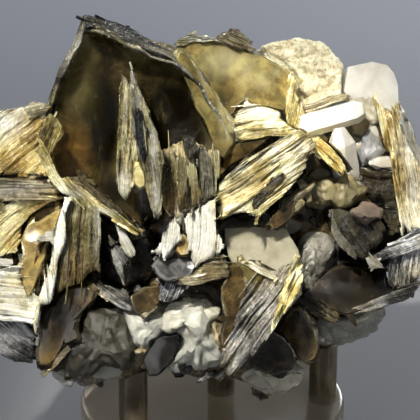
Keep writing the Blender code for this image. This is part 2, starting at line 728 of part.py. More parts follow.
MATRIX_LUMPS = {  # centre (x, y, z), then half sizes (x, y, z)
    "core": ((2, 8, -8), (26, 13, 20)),
    "core_right": ((20, 6, 4), (17, 13, 16)),
    "core_left": ((-20, 8, -8), (17, 10, 16)),
    "core_top": ((-10, 5, 12), (14, 8, 14)),
    "foot_left": ((-22, -4, -29), (9.5, 10, 8.6)),
    "foot_left_low": ((-27, -5, -32), (6.5, 8, 6)),
    "foot_middle": ((-12.5, -1, -25), (9, 12, 9)),
    "foot_white": ((-3.0, -4, -26), (8.5, 12, 9)),
    "foot_drip": ((-2.8, -8, -32), (3.0, 5, 4)),
    "foot_right": ((8, -2, -31), (8, 9, 7)),
    "foot_cream": ((14, -2, -36), (6.5, 8, 4.4)),
    "flank_right": ((29, 0, -22.5), (7.5, 9, 6.5)),
    "grey_lump": ((23.5, -4.5, -11), (4.6, 6, 7)),
    "cream_lump": ((28.0, -5, 3.6), (7.0, 6, 4.0)),
    "cream_lump_side": ((23.2, -4.4, 3.6), (4.2, 5, 3.8)),
    "pink_stub": ((34.8, -4, -0.8), (2.8, 3.6, 1.8)),
    "pocket_wall": ((34.5, 3, 14.5), (6.5, 7, 7.5)),
    "seat_back": ((2, 13, -24), (18, 12, 10)),
    "seat_right": ((27.5, 13, -24.5), (8, 10.5, 6.8)),
}


def quartz_matrix():
    """The massive quartz and albite under and behind the books, as one closed lumpy solid."""
    shape = bmesh.new()
    for centre, half in MATRIX_LUMPS.values():
        place = Matrix.Translation(centre) @ Matrix.Diagonal((*half, 1))
        bmesh.ops.create_icosphere(shape, subdivisions=3, radius=1, matrix=place)
    matrix = object_of("quartz_matrix", shape, "quartz")
    melt = matrix.modifiers.new("melt", "REMESH")
    melt.mode = "VOXEL"
    melt.voxel_size = MATRIX_VOXEL * MM
    thin = matrix.modifiers.new("thin", "DECIMATE")
    thin.ratio = MATRIX_DETAIL
    bake(matrix)
    chance = random.Random("matrix")
    for vertex in matrix.data.vertices:
        for axis in range(3):
            vertex.co[axis] += MATRIX_ROUGHNESS * MM * chance.uniform(-1, 1)
    return matrix


def bake(solid):
    """Turns the object's modifiers into its mesh and keeps only its largest body."""
    bpy.context.view_layer.update()
    graph = bpy.context.evaluated_depsgraph_get()
    mesh = bpy.data.meshes.new_from_object(solid.evaluated_get(graph))
    solid.modifiers.clear()
    solid.data = mesh
    keep_largest_body(solid)


def keep_largest_body(solid):
    """Drops the scraps that a cut has parted from the rest of the crystal, and the needless edges."""
    shape = bmesh.new()
    shape.from_mesh(solid.data)
    limit = MATRIX_MERGE_ANGLE if solid.name == "quartz_matrix" else MERGE_ANGLE
    bmesh.ops.dissolve_limit(shape, angle_limit=limit, verts=shape.verts, edges=shape.edges)
    bodies = []
    left = set(shape.faces)
    while left:
        body, edge = set(), [left.pop()]
        while edge:
            face = edge.pop()
            body.add(face)
            for side in face.edges:
                for other in side.link_faces:
                    if other in left:
                        left.remove(other)
                        edge.append(other)
        bodies.append(body)
    bodies.sort(key=body_volume)
    for body in bodies[:-1]:
        bmesh.ops.delete(shape, geom=list(body), context="FACES")
    shape.to_mesh(solid.data)
    shape.free()


def body_volume(faces):
    """The volume inside a closed set of faces."""
    total = 0.0
    for face in faces:
        first = face.verts[0].co
        for second, third in zip(face.verts[1:], face.verts[2:]):
            total += first.dot(second.co.cross(third.co)) / 6
    return total


def boxes_meet(first, second):
    """Whether the bounding boxes of two objects in one frame overlap."""
    for axis in range(3):
        a = [corner[axis] for corner in first.bound_box]
        b = [corner[axis] for corner in second.bound_box]
        if max(a) < min(b) or max(b) < min(a):
            return False
    return True


def subtract(solid, tool, solver="EXACT"):
    """Adds a Boolean that takes the tool's shape out of the solid."""
    cut = solid.modifiers.new("clear_of_" + tool.name, "BOOLEAN")
    cut.operation = "DIFFERENCE"
    cut.solver = solver
    cut.object = tool


def cut_back(solid, rooms, peg_rooms, solver="EXACT"):
    """Cuts the solid back from the rooms that reach into it, and from the pegs' sockets.

    The pegs stand upright, outside the leaning show frame, so their boxes aren't compared with the solid's.
    """
    for room in rooms:
        if boxes_meet(solid, room):
            subtract(solid, room, solver)
    for room in peg_rooms:
        subtract(solid, room, solver)
    bake(solid)


def part_crystals(matrix, peg_rooms):
    """Cuts each crystal back from those made before it, then the matrix from them all.

    The exact solver loses the lumpy matrix after some cuts, so that one takes the manifold solver.
    """
    rooms = []
    for crystal in Crystal.made:
        cut_back(crystal.solid, rooms, peg_rooms)
        rooms += crystal.rooms
    cut_back(matrix, rooms, peg_rooms, "MANIFOLD")


def cylinder(name, radius, low, high, bevel, sides, tone=None):
    """An upright cylinder between two heights, with its rims bevelled."""
    shape = bmesh.new()
    bmesh.ops.create_cone(
        shape, cap_ends=True, segments=sides, radius1=radius, radius2=radius,
        depth=high - low, matrix=Matrix.Translation((0, 0, (low + high) / 2)),
    )
    if bevel:
        rims = [edge for edge in shape.edges if any(len(face.verts) > 4 for face in edge.link_faces)]
        bmesh.ops.bevel(shape, geom=rims, offset=bevel, segments=1, profile=0.5, affect="EDGES")
    made = object_of(name, shape, tone)
    made.data.shade_smooth()
    made.data.set_sharp_from_angle(angle=math.radians(40))
    return made


def stand():
    """The round base with its three peg sockets, and the pegs."""
    base = cylinder("stand_base", BASE_RADIUS, 0, BASE_HEIGHT, BASE_EDGE, BASE_SIDES, "acrylic")
    base.location = (BASE_CENTRE[0] * MM, BASE_CENTRE[1] * MM, 0)
    peg_bottom = BASE_HEIGHT - PEG_SOCKET_DEPTH
    pegs, rooms = [], []
    for name, (x, y, reach) in PEGS.items():
        top = BASE_HEIGHT + reach
        peg = cylinder(name, PEG_RADIUS, peg_bottom, top, PEG_BEVEL, PEG_SIDES, "peg_steel")
        room = cylinder("room_" + name, PEG_RADIUS + GAP, peg_bottom - GAP, top + GAP, 0, PEG_SIDES)
        for part in (peg, room):
            part.location = (x * MM, y * MM, 0)
        as_cutter(room)
        subtract(base, room)
        pegs.append(peg)
        rooms.append(room)
    return base, pegs, rooms


def lean_onto_pegs(matrix):
    """Hangs every crystal on one empty that leans the show frame back."""
    seat = bpy.data.objects.new("specimen_seat", None)
    bpy.context.scene.collection.objects.link(seat)
    seat.location = (0, 0, SHOW_CENTRE_HEIGHT * MM)
    seat.rotation_euler = (-LEAN_BACK, 0, 0)
    for part in [matrix, *(c.solid for c in Crystal.made), *(r for c in Crystal.made for r in c.rooms)]:
        part.parent = seat
    return seat


def centre_over_origin(roots, solids):
    """Moves the roots together so that the object's box is centred on the origin."""
    bpy.context.view_layer.update()
    low, high = [math.inf] * 2, [-math.inf] * 2
    for solid in solids:
        for vertex in solid.data.vertices:
            place = solid.matrix_world @ vertex.co
            for axis in range(2):
                low[axis] = min(low[axis], place[axis])
                high[axis] = max(high[axis], place[axis])
    for root in roots:
        for axis in range(2):
            root.location[axis] -= (low[axis] + high[axis]) / 2


def main():
    for old in list(bpy.data.objects):
        bpy.data.objects.remove(old)
    muscovite_upper()
    muscovite_right()
    muscovite_left()
    muscovite_lower()
    pale_crystals()
    muscovite_back()
    matrix = quartz_matrix()
    base, pegs, peg_rooms = stand()
    seat = lean_onto_pegs(matrix)
    bpy.context.view_layer.update()
    part_crystals(matrix, peg_rooms)
    solids = [matrix, base, *pegs, *(c.solid for c in Crystal.made)]
    centre_over_origin([seat, base, *pegs, *peg_rooms], solids)


main()
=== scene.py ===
import json
import math

import bmesh
import bpy
import numpy as np
from mathutils import Matrix, Vector, geometry, noise
from mathutils.bvhtree import BVHTree


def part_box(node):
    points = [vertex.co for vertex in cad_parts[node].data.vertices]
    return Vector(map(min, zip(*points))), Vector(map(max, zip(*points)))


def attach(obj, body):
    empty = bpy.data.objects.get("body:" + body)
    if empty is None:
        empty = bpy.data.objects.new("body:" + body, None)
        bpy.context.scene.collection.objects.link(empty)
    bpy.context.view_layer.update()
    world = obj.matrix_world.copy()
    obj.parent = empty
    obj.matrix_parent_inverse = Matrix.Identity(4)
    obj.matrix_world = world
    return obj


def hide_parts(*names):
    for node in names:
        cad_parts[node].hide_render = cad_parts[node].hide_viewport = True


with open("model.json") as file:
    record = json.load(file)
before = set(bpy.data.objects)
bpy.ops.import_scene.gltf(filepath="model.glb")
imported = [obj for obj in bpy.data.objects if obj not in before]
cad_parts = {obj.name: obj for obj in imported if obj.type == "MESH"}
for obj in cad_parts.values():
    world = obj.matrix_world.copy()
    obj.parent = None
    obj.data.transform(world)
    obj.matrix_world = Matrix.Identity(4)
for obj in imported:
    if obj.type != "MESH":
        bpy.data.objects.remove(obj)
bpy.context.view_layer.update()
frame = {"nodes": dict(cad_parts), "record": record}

MM = 1000.0  # in a metre
SLOT_OF = {part["node"]: part["material_slot"] for part in frame["record"]["subparts"]}

PHOTO = 420  # side of the photograph's frame, in pixels
LENS = 150.0
SENSOR = 36.0
FOCAL = LENS / SENSOR * PHOTO  # in pixels
LOOK_DOWN = math.radians(22)
DISTANCE = 385.0  # from the camera to the middle of the show face, in millimetres
SHOW_HEIGHT = 59.3
BASE_CENTRE = (0.5, 3.0)  # of the stand's base, in plan, from the middle of the show face

base_low, base_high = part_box("stand_base")
base_middle = (base_low + base_high) * (MM / 2)
MIDDLE = Vector((base_middle.x - BASE_CENTRE[0], base_middle.y - BASE_CENTRE[1], SHOW_HEIGHT))
VIEW = Vector((0, -math.cos(LOOK_DOWN), math.sin(LOOK_DOWN)))  # from the specimen to the camera
EYE = MIDDLE + VIEW * DISTANCE
RIGHT = Vector((1, 0, 0))
UP = Vector((0, math.sin(LOOK_DOWN), math.cos(LOOK_DOWN)))


def photo_place(points):
    """Where points in millimetres fall in the photograph, in pixels."""
    arms = points - np.array(EYE)
    scale = FOCAL / -(arms @ np.array(VIEW))
    return PHOTO / 2 + arms @ np.array(RIGHT) * scale, PHOTO / 2 - arms @ np.array(UP) * scale


def photo_point(x, y, behind=0.0):
    """The point in millimetres seen at a pixel, behind millimetres beyond the middle plane."""
    scale = (DISTANCE + behind) / FOCAL
    across = RIGHT * ((x - PHOTO / 2) * scale) + UP * ((PHOTO / 2 - y) * scale)
    return MIDDLE - VIEW * behind + across


def photo_patch(across, down, patch):
    """The squared distance of points from the middle of an ellipse: 1 on its edge."""
    x, y, wide, tall = patch[:4]
    return ((across - x) / wide) ** 2 + ((down - y) / tall) ** 2


def pixels(outline):
    """The corners of an outline that is written as x,y pairs in pixels."""
    return np.array([pair.split(",") for pair in outline.split()], float)


class Form:
    """A closed surface of triangles, in millimetres."""

    def __init__(self, points, tris):
        self.points = points
        self.tris = tris

    def facets(self):
        """The corners a, b and c of the triangles, their cross products and their normals."""
        a, b, c = (self.points[self.tris[:, corner]] for corner in range(3))
        cross = np.cross(b - a, c - a)
        normals = cross / np.maximum(np.linalg.norm(cross, axis=1), 1e-9)[:, None]
        return a, b, c, cross, normals

    def finer(self, times):
        """Each triangle in four, several times over."""
        for _ in range(times):
            a, b, c = self.tris.T
            corners = self.points
            middles = [(corners[p] + corners[q]) / 2 for p, q in ((a, b), (b, c), (c, a))]
            ab = len(corners) + np.arange(len(a))
            bc = ab + len(a)
            ca = bc + len(a)
            self.points = np.vstack([corners] + middles)
            faces = ((a, ab, ca), (ab, b, bc), (ca, bc, c), (ab, bc, ca))
            self.tris = np.vstack([np.stack(face, 1) for face in faces])

    def cleavage(self):
        """The normal of the sheets: the direction that most of the surface is square or parallel to."""
        *_, cross, normals = self.facets()
        area = np.linalg.norm(cross, axis=1)
        best, best_score = normals[0], -1.0
        for place in np.argsort(-area)[:80]:
            dots = np.abs(normals @ normals[place])
            score = area[(dots > 0.9985) | (dots < 0.04)].sum()
            if score > best_score:
                best, best_score = normals[place], score
        return Vector(best)


def form_of(node):
    """A CAD node's surface, welded."""
    mesh = frame["nodes"][node].data
    flat = np.empty(len(mesh.vertices) * 3)
    mesh.vertices.foreach_get("co", flat)
    mesh.calc_loop_triangles()
    tris = np.empty(len(mesh.loop_triangles) * 3, int)
    mesh.loop_triangles.foreach_get("vertices", tris)
    points, merged = np.unique(np.round(flat.reshape(-1, 3) * MM, 3), axis=0, return_inverse=True)
    return Form(points, merged.reshape(-1)[tris].reshape(-1, 3))


def closed(points):
    """The solid between two rings of points, the back one first."""
    count = len(points) // 2
    tris = []
    for corner in range(count):
        after = (corner + 1) % count
        tris += [(corner, after, count + after), (corner, count + after, count + corner)]
        if 0 < corner < count - 1:
            tris += [(0, after, corner), (count, count + corner, count + after)]
    return Form(np.array(points), np.array(tris))


def own_axes(normal):
    """x, y and z of a book: z across its sheets, x along them as seen, to the right."""
    if abs(normal.dot(VIEW)) > 0.6:
        if normal.dot(VIEW) < 0:
            normal = -normal
        x = RIGHT - normal * RIGHT.dot(normal)
    else:
        if normal.z < 0:
            normal = -normal
        x = normal.cross(VIEW)
        if x.x < 0:
            x = -x
    x.normalize()
    return x, normal.cross(x), normal


def ring_noise(chance, rows, count, along, across):
    """Smooth noise from 0 to 1 on rings of count points: along cells round them, across cells over all."""
    along = max(3, int(along))
    across = max(2, int(across))
    grid = chance.random((across + 1, along))
    row = np.linspace(0, across - 1e-6, rows)
    col = np.arange(count) * along / count
    r0 = row.astype(int)
    c0 = col.astype(int)
    c1 = (c0 + 1) % along
    down, over = (part * part * (3 - 2 * part) for part in (row - r0, col - c0))
    down, over = down[:, None], over[None, :]
    low, high = (grid[r][:, c0] * (1 - over) + grid[r][:, c1] * over for r in (r0, r0 + 1))
    return low * (1 - down) + high * down


class Wave:
    """A gentle smooth undulation of a book's sheets, size millimetres high."""

    def __init__(self, chance, size, length=15.0, depth=17.0):
        self.parts = []
        for share in (1.0, 0.6, 0.45):
            heading = chance.uniform(0, 2 * math.pi)
            turns = 2 * math.pi / (length * share)
            self.parts.append((
                size * share, turns * math.cos(heading), turns * math.sin(heading),
                2 * math.pi / depth * chance.uniform(-1, 1), chance.uniform(0, 6.28),
            ))

    def at(self, x, y, z):
        return sum(size * np.sin(a * x + b * y + c * z + start) for size, a, b, c, start in self.parts)


def crossings(points, tris, level):
    """The segments, in x and y, where triangles cross a level of z."""
    corners = points[tris]
    above = corners[:, :, 2] > level
    mixed = above.any(1) & ~above.all(1)
    corners = corners[mixed]
    above = above[mixed]
    lone = np.where(above.sum(1) == 1, above.argmax(1), (~above).argmax(1))
    rows = np.arange(len(corners))
    tip = corners[rows, lone]
    ends = []
    for step in (1, 2):
        other = corners[rows, (lone + step) % 3]
        share = (level - tip[:, 2]) / (other[:, 2] - tip[:, 2])
        ends.append(tip[:, :2] + (other[:, :2] - tip[:, :2]) * share[:, None])
    return ends


def cross2(a, b):
    """The cross product of flat arrows, a number."""
    return a[..., 0] * b[..., 1] - a[..., 1] * b[..., 0]


def reach(start, end, origin, headings):
    """How far each heading goes from the origin to the farthest of the segments, or 0."""
    span = (end - start)[None]
    arm = (start - origin)[None]
    ray = headings[:, None]
    below = cross2(ray, span)
    below = np.where(np.abs(below) < 1e-9, 1e-9, below)
    far = cross2(arm, span) / below
    share = cross2(arm, ray) / below
    hit = (share >= -0.001) & (share <= 1.001) & (far > 0)
    return np.where(hit, far, 0).max(1)


def hull_of(flat):
    """The convex outline of flat points, closed, with its first point again at the end."""
    loop = flat[geometry.convex_hull_2d([Vector(p) for p in flat])]
    return np.vstack([loop, loop[:1]])


def headings_round(flat, spacing, least, most):
    """Directions from the middle of a flat outline to points evenly spaced along it."""
    loop = hull_of(flat)
    lengths = np.linalg.norm(np.diff(loop, axis=0), axis=1)
    total = lengths.sum()
    count = int(min(most, max(least, total / spacing)))
    at = np.concatenate([[0], np.cumsum(lengths)])
    where = np.arange(count) * total / count
    ring = np.stack([np.interp(where, at, loop[:, k]) for k in (0, 1)], 1)
    arms = ring - ring.mean(0)
    arms = arms / np.linalg.norm(arms, axis=1)[:, None]
    return arms[np.argsort(np.arctan2(arms[:, 1], arms[:, 0]))]


# How a book is made unless it says otherwise, with lengths in millimetres:
# sheet: how thick a sheet is; seam: how deep the seams between sheets are
# grow, extra: how far its sides and its faces stand past its solid
# rough, lobes, chips, slits: how torn its sides are; terraces: how many sheets end short on top of it
# wave, bend: how far from flat its sheets are; dished: whether its top follows its solid
# rings: of points that close its top; spacing, points: how far apart they lie round it, the fewest and most
USUAL = dict(
    sheet=0.34, seam=0.35, grow=1.1, extra=0.4, rough=0.5, lobes=1.0, chips=14, slits=0.14, terraces=1,
    wave=0.2, bend=0.0, dished=False, rings=7, spacing=1.0, points=(36, 190),
)
# What differs in books that show their edges, in books that show their face, in rough filling, and in flakes.
FINE = dict(sheet=0.24, seam=0.06, lobes=0.22, rough=0.22, chips=6, spacing=1.15, slits=0.06)
SMOOTH = dict(sheet=0.3, terraces=0, lobes=0.35, rings=12, grow=0.3)
ROUGH = dict(sheet=0.45, spacing=1.6)
SMALL = dict(
    rough=0.35, lobes=0.7, terraces=2, rings=3, spacing=0.8, wave=0.1, chips=8, grow=0.0, extra=0.0,
    points=(18, 44),
)
FACE, EDGE = 0, 1  # a book's materials
WIDEST = 18.0  # the width of a book past which its splinters grow no longer
SHARD_AREA = 20.0  # of a book's surface for each splinter or leaf, in square millimetres
# The crust that decides where the flakes go is also painted shade in the gaps.
FLAKE_SPOTS = 330  # on the matrix, of which the crusted ones get a flake
FLAKE_SEED, SPLINTER_SEED, KNOB_SEED, SPOT_SEED = 711, 97, 31, 52


class Cleaved:
    """A mica book grown on a solid: a stack of thin ragged sheets with open seams between them."""

    def __init__(self, node, form=None, axes=None, **settings):
        for name, value in {**USUAL, **settings}.items():
            setattr(self, name, value)
        self.node = node
        self.chance = np.random.default_rng(sum(ord(c) * (k + 3) for k, c in enumerate(node)))
        self.form = form or form_of(node)
        self.axes = np.array(axes or own_axes(self.form.cleavage()))
        self.form.finer(3 if self.bend else int(self.dished))
        self.middle = (self.form.points.min(0) + self.form.points.max(0)) / 2
        self.local = (self.form.points - self.middle) @ self.axes.T
        self.narrow = min(np.sort(np.ptp(self.local, axis=0))[1], WIDEST)
        self.local[:, 2] -= self.bend * self.local[:, 0] ** 2
        self.waves = Wave(self.chance, self.wave)
        self.headings = headings_round(self.local[:, :2], self.spacing, *self.points)
        self.count = len(self.headings)
        self.verts = []
        self.shades = []
        self.rims = []
        self.quads = []
        self.kinds = []
        self.stack()
        self.cap(self.rings, 1)
        self.cap(max(3, self.rings // 2), 0)

    def outlines(self, levels):
        """How far the solid's sides are from a middle point at each level, and that point."""
        radii = []
        origins = []
        for level in levels:
            start, end = crossings(self.local, self.form.tris, level)
            if len(start) < 3:
                radii.append(radii[-1])
                origins.append(origins[-1])
                continue
            loop = hull_of(np.vstack([start, end]))
            origin = (loop.min(0) + loop.max(0)) / 2
            far = reach(start, end, origin, self.headings)
            radii.append(np.where(far > 0, far, reach(loop[:-1], loop[1:], origin, self.headings)))
            origins.append(origin)
        return np.array(radii), np.array(origins)

    def torn(self, radii, band, inside):
        """The radii of the sheets with their sides torn, chipped and slit."""
        chance = self.chance
        rows, count = radii.shape
        bundles = band[-1] + 1
        size = float(np.median(radii)) * 2
        away = 0.3 * self.rough * ring_noise(chance, rows, count, count / 2.2, rows)
        away += 0.7 * self.lobes * ring_noise(chance, rows, count, count / 9, rows / 5) ** 2
        away += 1.5 * self.lobes * ring_noise(chance, bundles, count, count / 6, bundles)[band] ** 1.5
        away += (0.45 * self.lobes * np.abs(inside) ** 4)[:, None]
        away += 0.6 * self.rough * chance.random((rows, 1)) ** 2
        deep = chance.random(rows) < self.slits
        away += (deep * chance.uniform(0.4, 1.5, rows) * min(1.0, size / 14))[:, None]
        for _ in range(int(self.chips * rows / 14) + 2):
            row = int(chance.integers(0, rows))
            tall = int(chance.integers(1, 4))
            where = chance.uniform(0, count)
            wide = chance.uniform(1.5, 6.5)
            depth = chance.uniform(0.4, 2.2) * min(1.0, size / 18)
            gap = np.abs((np.arange(count) - where + count / 2) % count - count / 2)
            bite = depth * np.clip(1.6 - gap / wide * 1.2, 0, 1)
            away[row:row + tall] = np.maximum(away[row:row + tall], bite)
        away = away * np.minimum(1.0, radii / 3.0) - self.grow
        before, after = np.roll(self.headings, 1, 0), np.roll(self.headings, -1, 0)
        step = np.abs(np.arctan2(cross2(before, after), (before * after).sum(1)))
        face = np.roll(radii, -1, 1) - np.roll(radii, 1, 1)
        slant = np.abs(face) / np.maximum(radii * step[None], 1e-6)
        return np.maximum(radii - away * np.minimum(2.4, np.sqrt(1 + slant ** 2)), 0.2)

    def stack(self):
        """The sheets from the bottom to the top, each a ring of points, with a seam's ring between two."""
        chance = self.chance
        low, high = self.local[:, 2].min(), self.local[:, 2].max()
        first = low - self.extra
        thick = high + self.extra - first
        edges = [first]
        while edges[-1] < first + thick:
            edges.append(edges[-1] + self.sheet * float(np.clip(chance.lognormal(0, 0.45), 0.35, 2.3)))
        edges = np.array(edges)
        edges = first + (edges - first) * thick / (edges[-1] - first)
        levels = (edges[1:] + edges[:-1]) / 2
        radii, origins = self.outlines(np.clip(levels, low + 0.03, high - 0.03))
        rows = len(levels)
        levels[0] = edges[0]
        levels[-1] = edges[-1]
        band, inside = self.bands(rows)
        radii = self.torn(radii, band, inside)
        angles = np.arctan2(self.headings[:, 1], self.headings[:, 0])
        for row in range(rows - 1, rows - 1 - min(self.terraces, rows - 2), -1):
            toward = chance.uniform(0, 2 * math.pi)
            keep = chance.uniform(0.25, 0.8) * float(np.median(radii[row]))
            facing = np.cos(angles - toward)
            limit = np.where(facing > 0.05, keep / np.maximum(facing, 0.05), 1e3)
            radii[row:] = np.minimum(radii[row:], limit)
        shades = chance.random(rows)
        last = None
        for row in range(rows):
            last = self.ring(levels[row], radii[row], origins[row], shades[row], 0.0, last)
            if row < rows - 1:
                tight = np.minimum(radii[row], radii[row + 1])
                deeper = 2.6 if band[row] != band[row + 1] else 1.0
                dip = self.seam * deeper * chance.uniform(0.15, 1.0) * np.minimum(1.0, tight / 2.5)
                far = np.maximum(tight - dip, 0.15)
                last = self.ring(edges[row + 1], far, origins[row], 0.5, -1.0, last)
        self.ends = (levels[0], radii[0], origins[0], 0), (levels[-1], radii[-1], origins[-1], last)

    def bands(self, rows):
        """Which bundle of sheets each sheet is in, and how far it is from the bundle's middle, -1 to 1."""
        band = np.zeros(rows, int)
        inside = np.zeros(rows)
        start = 0
        turn = 0
        while start < rows:
            stop = min(rows, start + int(self.chance.integers(3, 10)))
            band[start:stop] = turn
            inside[start:stop] = np.linspace(-1, 1, stop - start) if stop - start > 1 else 0
            start = stop
            turn += 1
        return band, inside

    def ring(self, level, far, origin, shade, rim, below=None):
        """A ring of points, joined to the ring below it, and what the materials read there."""
        start = len(self.verts) * self.count
        flat = origin + self.headings * far[:, None]
        self.verts.append(np.column_stack([flat, np.full(self.count, level)]))
        self.shades.append(np.full(self.count, shade))
        self.rims.append(np.full(self.count, rim))
        if below is not None:
            self.band(below, start, EDGE)
        return start

    def band(self, low, high, kind):
        """The faces between two rings, from where their points start."""
        here = np.arange(self.count)
        after = (here + 1) % self.count
        self.quads.append(np.stack([low + here, low + after, high + after, high + here], 1))
        self.kinds.append(np.full(self.count, kind))

    def cap(self, turns, top):
        """Closes the stack's bottom (0) or top (1) with rings toward its middle."""
        level, far, origin, last = self.ends[top]
        if self.dished and top:
            solid = BVHTree.FromPolygons(self.local.tolist(), self.form.tris.tolist())
        for turn in range(1, turns + 1):
            share = (1 - turn / turns) ** 0.8 if turn < turns else 0.004
            here = self.ring(level, far * share, origin, 0.5, np.minimum(far * (1 - share), 9.0))
            if self.dished and top:
                for point in self.verts[-1]:
                    hit = solid.ray_cast(Vector((point[0], point[1], level + 30)), Vector((0, 0, -1)))[0]
                    if hit is not None:
                        point[2] = min(level, hit.z)
            self.band(*((last, here) if top else (here, last)), FACE)
            last = here

    def sheets(self):
        """The stack as plain arrays: points in millimetres, faces, and what the materials read."""
        local = np.vstack(self.verts)
        x, y, level = local.T
        local = np.column_stack([x, y, level + self.waves.at(x, y, level) + self.bend * x ** 2])
        points = local @ self.axes + self.middle
        quads = outward(points, np.vstack(self.quads))
        return {
            "points": points, "quads": quads, "kind": np.concatenate(self.kinds),
            "smooth": np.ones(len(quads), bool), "level": level, "shade": np.concatenate(self.shades),
            "rim": np.concatenate(self.rims),
        }

    def scattered(self, chance, spacing):
        """Points over the solid, one for each spacing square millimetres, with the way out at each."""
        a, b, c, cross, normals = self.form.facets()
        area = np.linalg.norm(cross, axis=1) / 2
        if np.einsum("ij,ij->i", a - self.middle, cross).sum() <= 0:
            normals = -normals
        chosen = chance.choice(len(area), int(area.sum() / spacing) + 1, p=area / area.sum())
        u, v = chance.random((2, len(chosen)))
        fold = u + v > 1
        u, v = np.where(fold, 1 - u, u)[:, None], np.where(fold, 1 - v, v)[:, None]
        return a[chosen] + u * (b - a)[chosen] + v * (c - a)[chosen], normals[chosen]


def outward(points, faces):
    """The faces, turned over if they face inward."""
    total = 0.0
    for second in range(1, faces.shape[1] - 1):
        a, b, c = (points[faces[:, corner]] for corner in (0, second, second + 1))
        total += np.einsum("ij,ij->i", a, np.cross(b, c)).sum()
    return faces[:, ::-1] if total < 0 else faces


def mesh_of(name, stacks):
    """One mesh from the arrays of several stacks."""
    start = 0
    quads = []
    for stack in stacks:
        quads.append(stack["quads"] + start)
        start += len(stack["points"])
    whole = {key: np.concatenate([s[key] for s in stacks]) for key in stacks[0] if key != "quads"}
    mesh = bpy.data.meshes.new(name)
    mesh.from_pydata((whole["points"] / MM).tolist(), [], np.vstack(quads).tolist())
    mesh.polygons.foreach_set("material_index", whole["kind"].astype(np.int32))
    mesh.polygons.foreach_set("use_smooth", whole["smooth"])
    for key in ("level", "shade", "rim", "tone", *PATCHES):
        put(mesh, key, whole[key])
    return mesh


def put(mesh, name, values):
    """Keeps a number for each point of a mesh, for its materials."""
    layer = mesh.attributes.new(name, "FLOAT", "POINT")
    layer.data.foreach_set("value", np.asarray(values, np.float32))


# Patches of colour on a piece, where they are seen: x, y and half sizes in pixels, then strength. This first
# table is golden mica and painted glow of light shining through the sheets.
GOLDEN_AND_GLOW = {
    "muscovite_book_main": [(74, 150, 18, 24, 1.0), (66, 168, 14, 10, 0.8), (205, 150, 20, 16, 0.25)],
    "muscovite_sheaf_centre": [(171, 202, 12, 14, 1.0), (186, 190, 30, 10, 0.5)],
    "tongue_left": [(182, 196, 10, 18, 0.8)],
    "tongue_middle": [(194, 200, 10, 14, 0.6)],
    "muscovite_sheaf_centre_low": [(183, 242, 7, 18, 1.0)],
    "muscovite_sheaf_diagonal": [
        (268, 186, 18, 14, 0.7), (235, 190, 12, 18, 0.5), (262, 160, 40, 20, 0.25),
    ],
    "muscovite_book_upper_right": [(232, 88, 12, 14, 0.4), (285, 80, 8, 30, 0.35), (262, 96, 16, 8, 0.2)],
    "muscovite_sheaf_left_top": [(18, 160, 30, 18, 0.9), (44, 168, 12, 8, 1.0), (30, 140, 14, 20, 0.6)],
    "muscovite_sheaf_left_upper": [(55, 190, 16, 10, 0.7)],
    "muscovite_sheaf_left_slope": [(20, 235, 20, 16, 0.8), (44, 204, 16, 6, 0.8)],
    "fin_wedge": [(140, 180, 6, 6, 0.4)],
    "muscovite_book_left_inner": [(50, 222, 18, 10, 0.9), (34, 230, 10, 10, 0.7)],
    "muscovite_book_left_foot": [(46, 360, 18, 14, 1.4), (74, 290, 12, 12, 1.2), (84, 300, 8, 10, 0.8)],
    "muscovite_book_left_upright": [(72, 270, 16, 22, 1.3), (90, 262, 8, 14, 0.6), (80, 225, 6, 24, 0.4)],
    "muscovite_book_right_edge": [
        (385, 130, 8, 26, 1.0), (392, 175, 6, 22, 0.6), (402, 156, 5, 18, 0.5), (400, 218, 8, 8, 0.6),
    ],
    "muscovite_book_right_inner": [(372, 180, 16, 8, 0.7), (395, 225, 8, 8, 0.8)],
    "muscovite_book_crest": [(300, 95, 30, 12, 0.35)],
}
# Dark patches: partly the mica's own dark colour, partly painted shade and painted shadows.
DARK_AND_SHADE = {
    "muscovite_book_main": [
        (104, 122, 19, 62, 1.5), (176, 122, 44, 48, 1.7), (150, 66, 26, 12, 0.4), (112, 190, 40, 26, 1.0),
    ],
    "muscovite_book_upper_right": [
        (220, 100, 17, 24, 1.0), (236, 112, 18, 9, 0.7), (208, 78, 8, 14, 0.8), (238, 34, 16, 7, 0.9),
    ],
    "muscovite_sheaf_centre": [(168, 168, 9, 20, 1.0), (206, 165, 3, 20, 0.5)],
    "muscovite_sheaf_left_slope": [(42, 212, 16, 9, 0.95)],
    "muscovite_book_left_inner": [(42, 262, 9, 30, 0.8)],
    "muscovite_book_left_upright": [(79, 250, 3, 40, 0.6), (92, 240, 2.5, 50, 0.8), (90, 285, 12, 10, 0.8)],
    "muscovite_book_left_foot": [(66, 318, 26, 26, 1.0)],
    "muscovite_book_right_inner": [(385, 212, 16, 16, 0.9)],
    "muscovite_book_lower_right": [(385, 282, 26, 14, 1.0), (345, 300, 40, 8, 0.5)],
    "muscovite_sheaf_saddle": [(262, 134, 26, 6, 0.9)],
    "muscovite_sheaf_diagonal_foot": [(285, 200, 18, 10, 0.8)],
    "muscovite_sheaf_diagonal": [(300, 172, 10, 14, 0.6)],
}
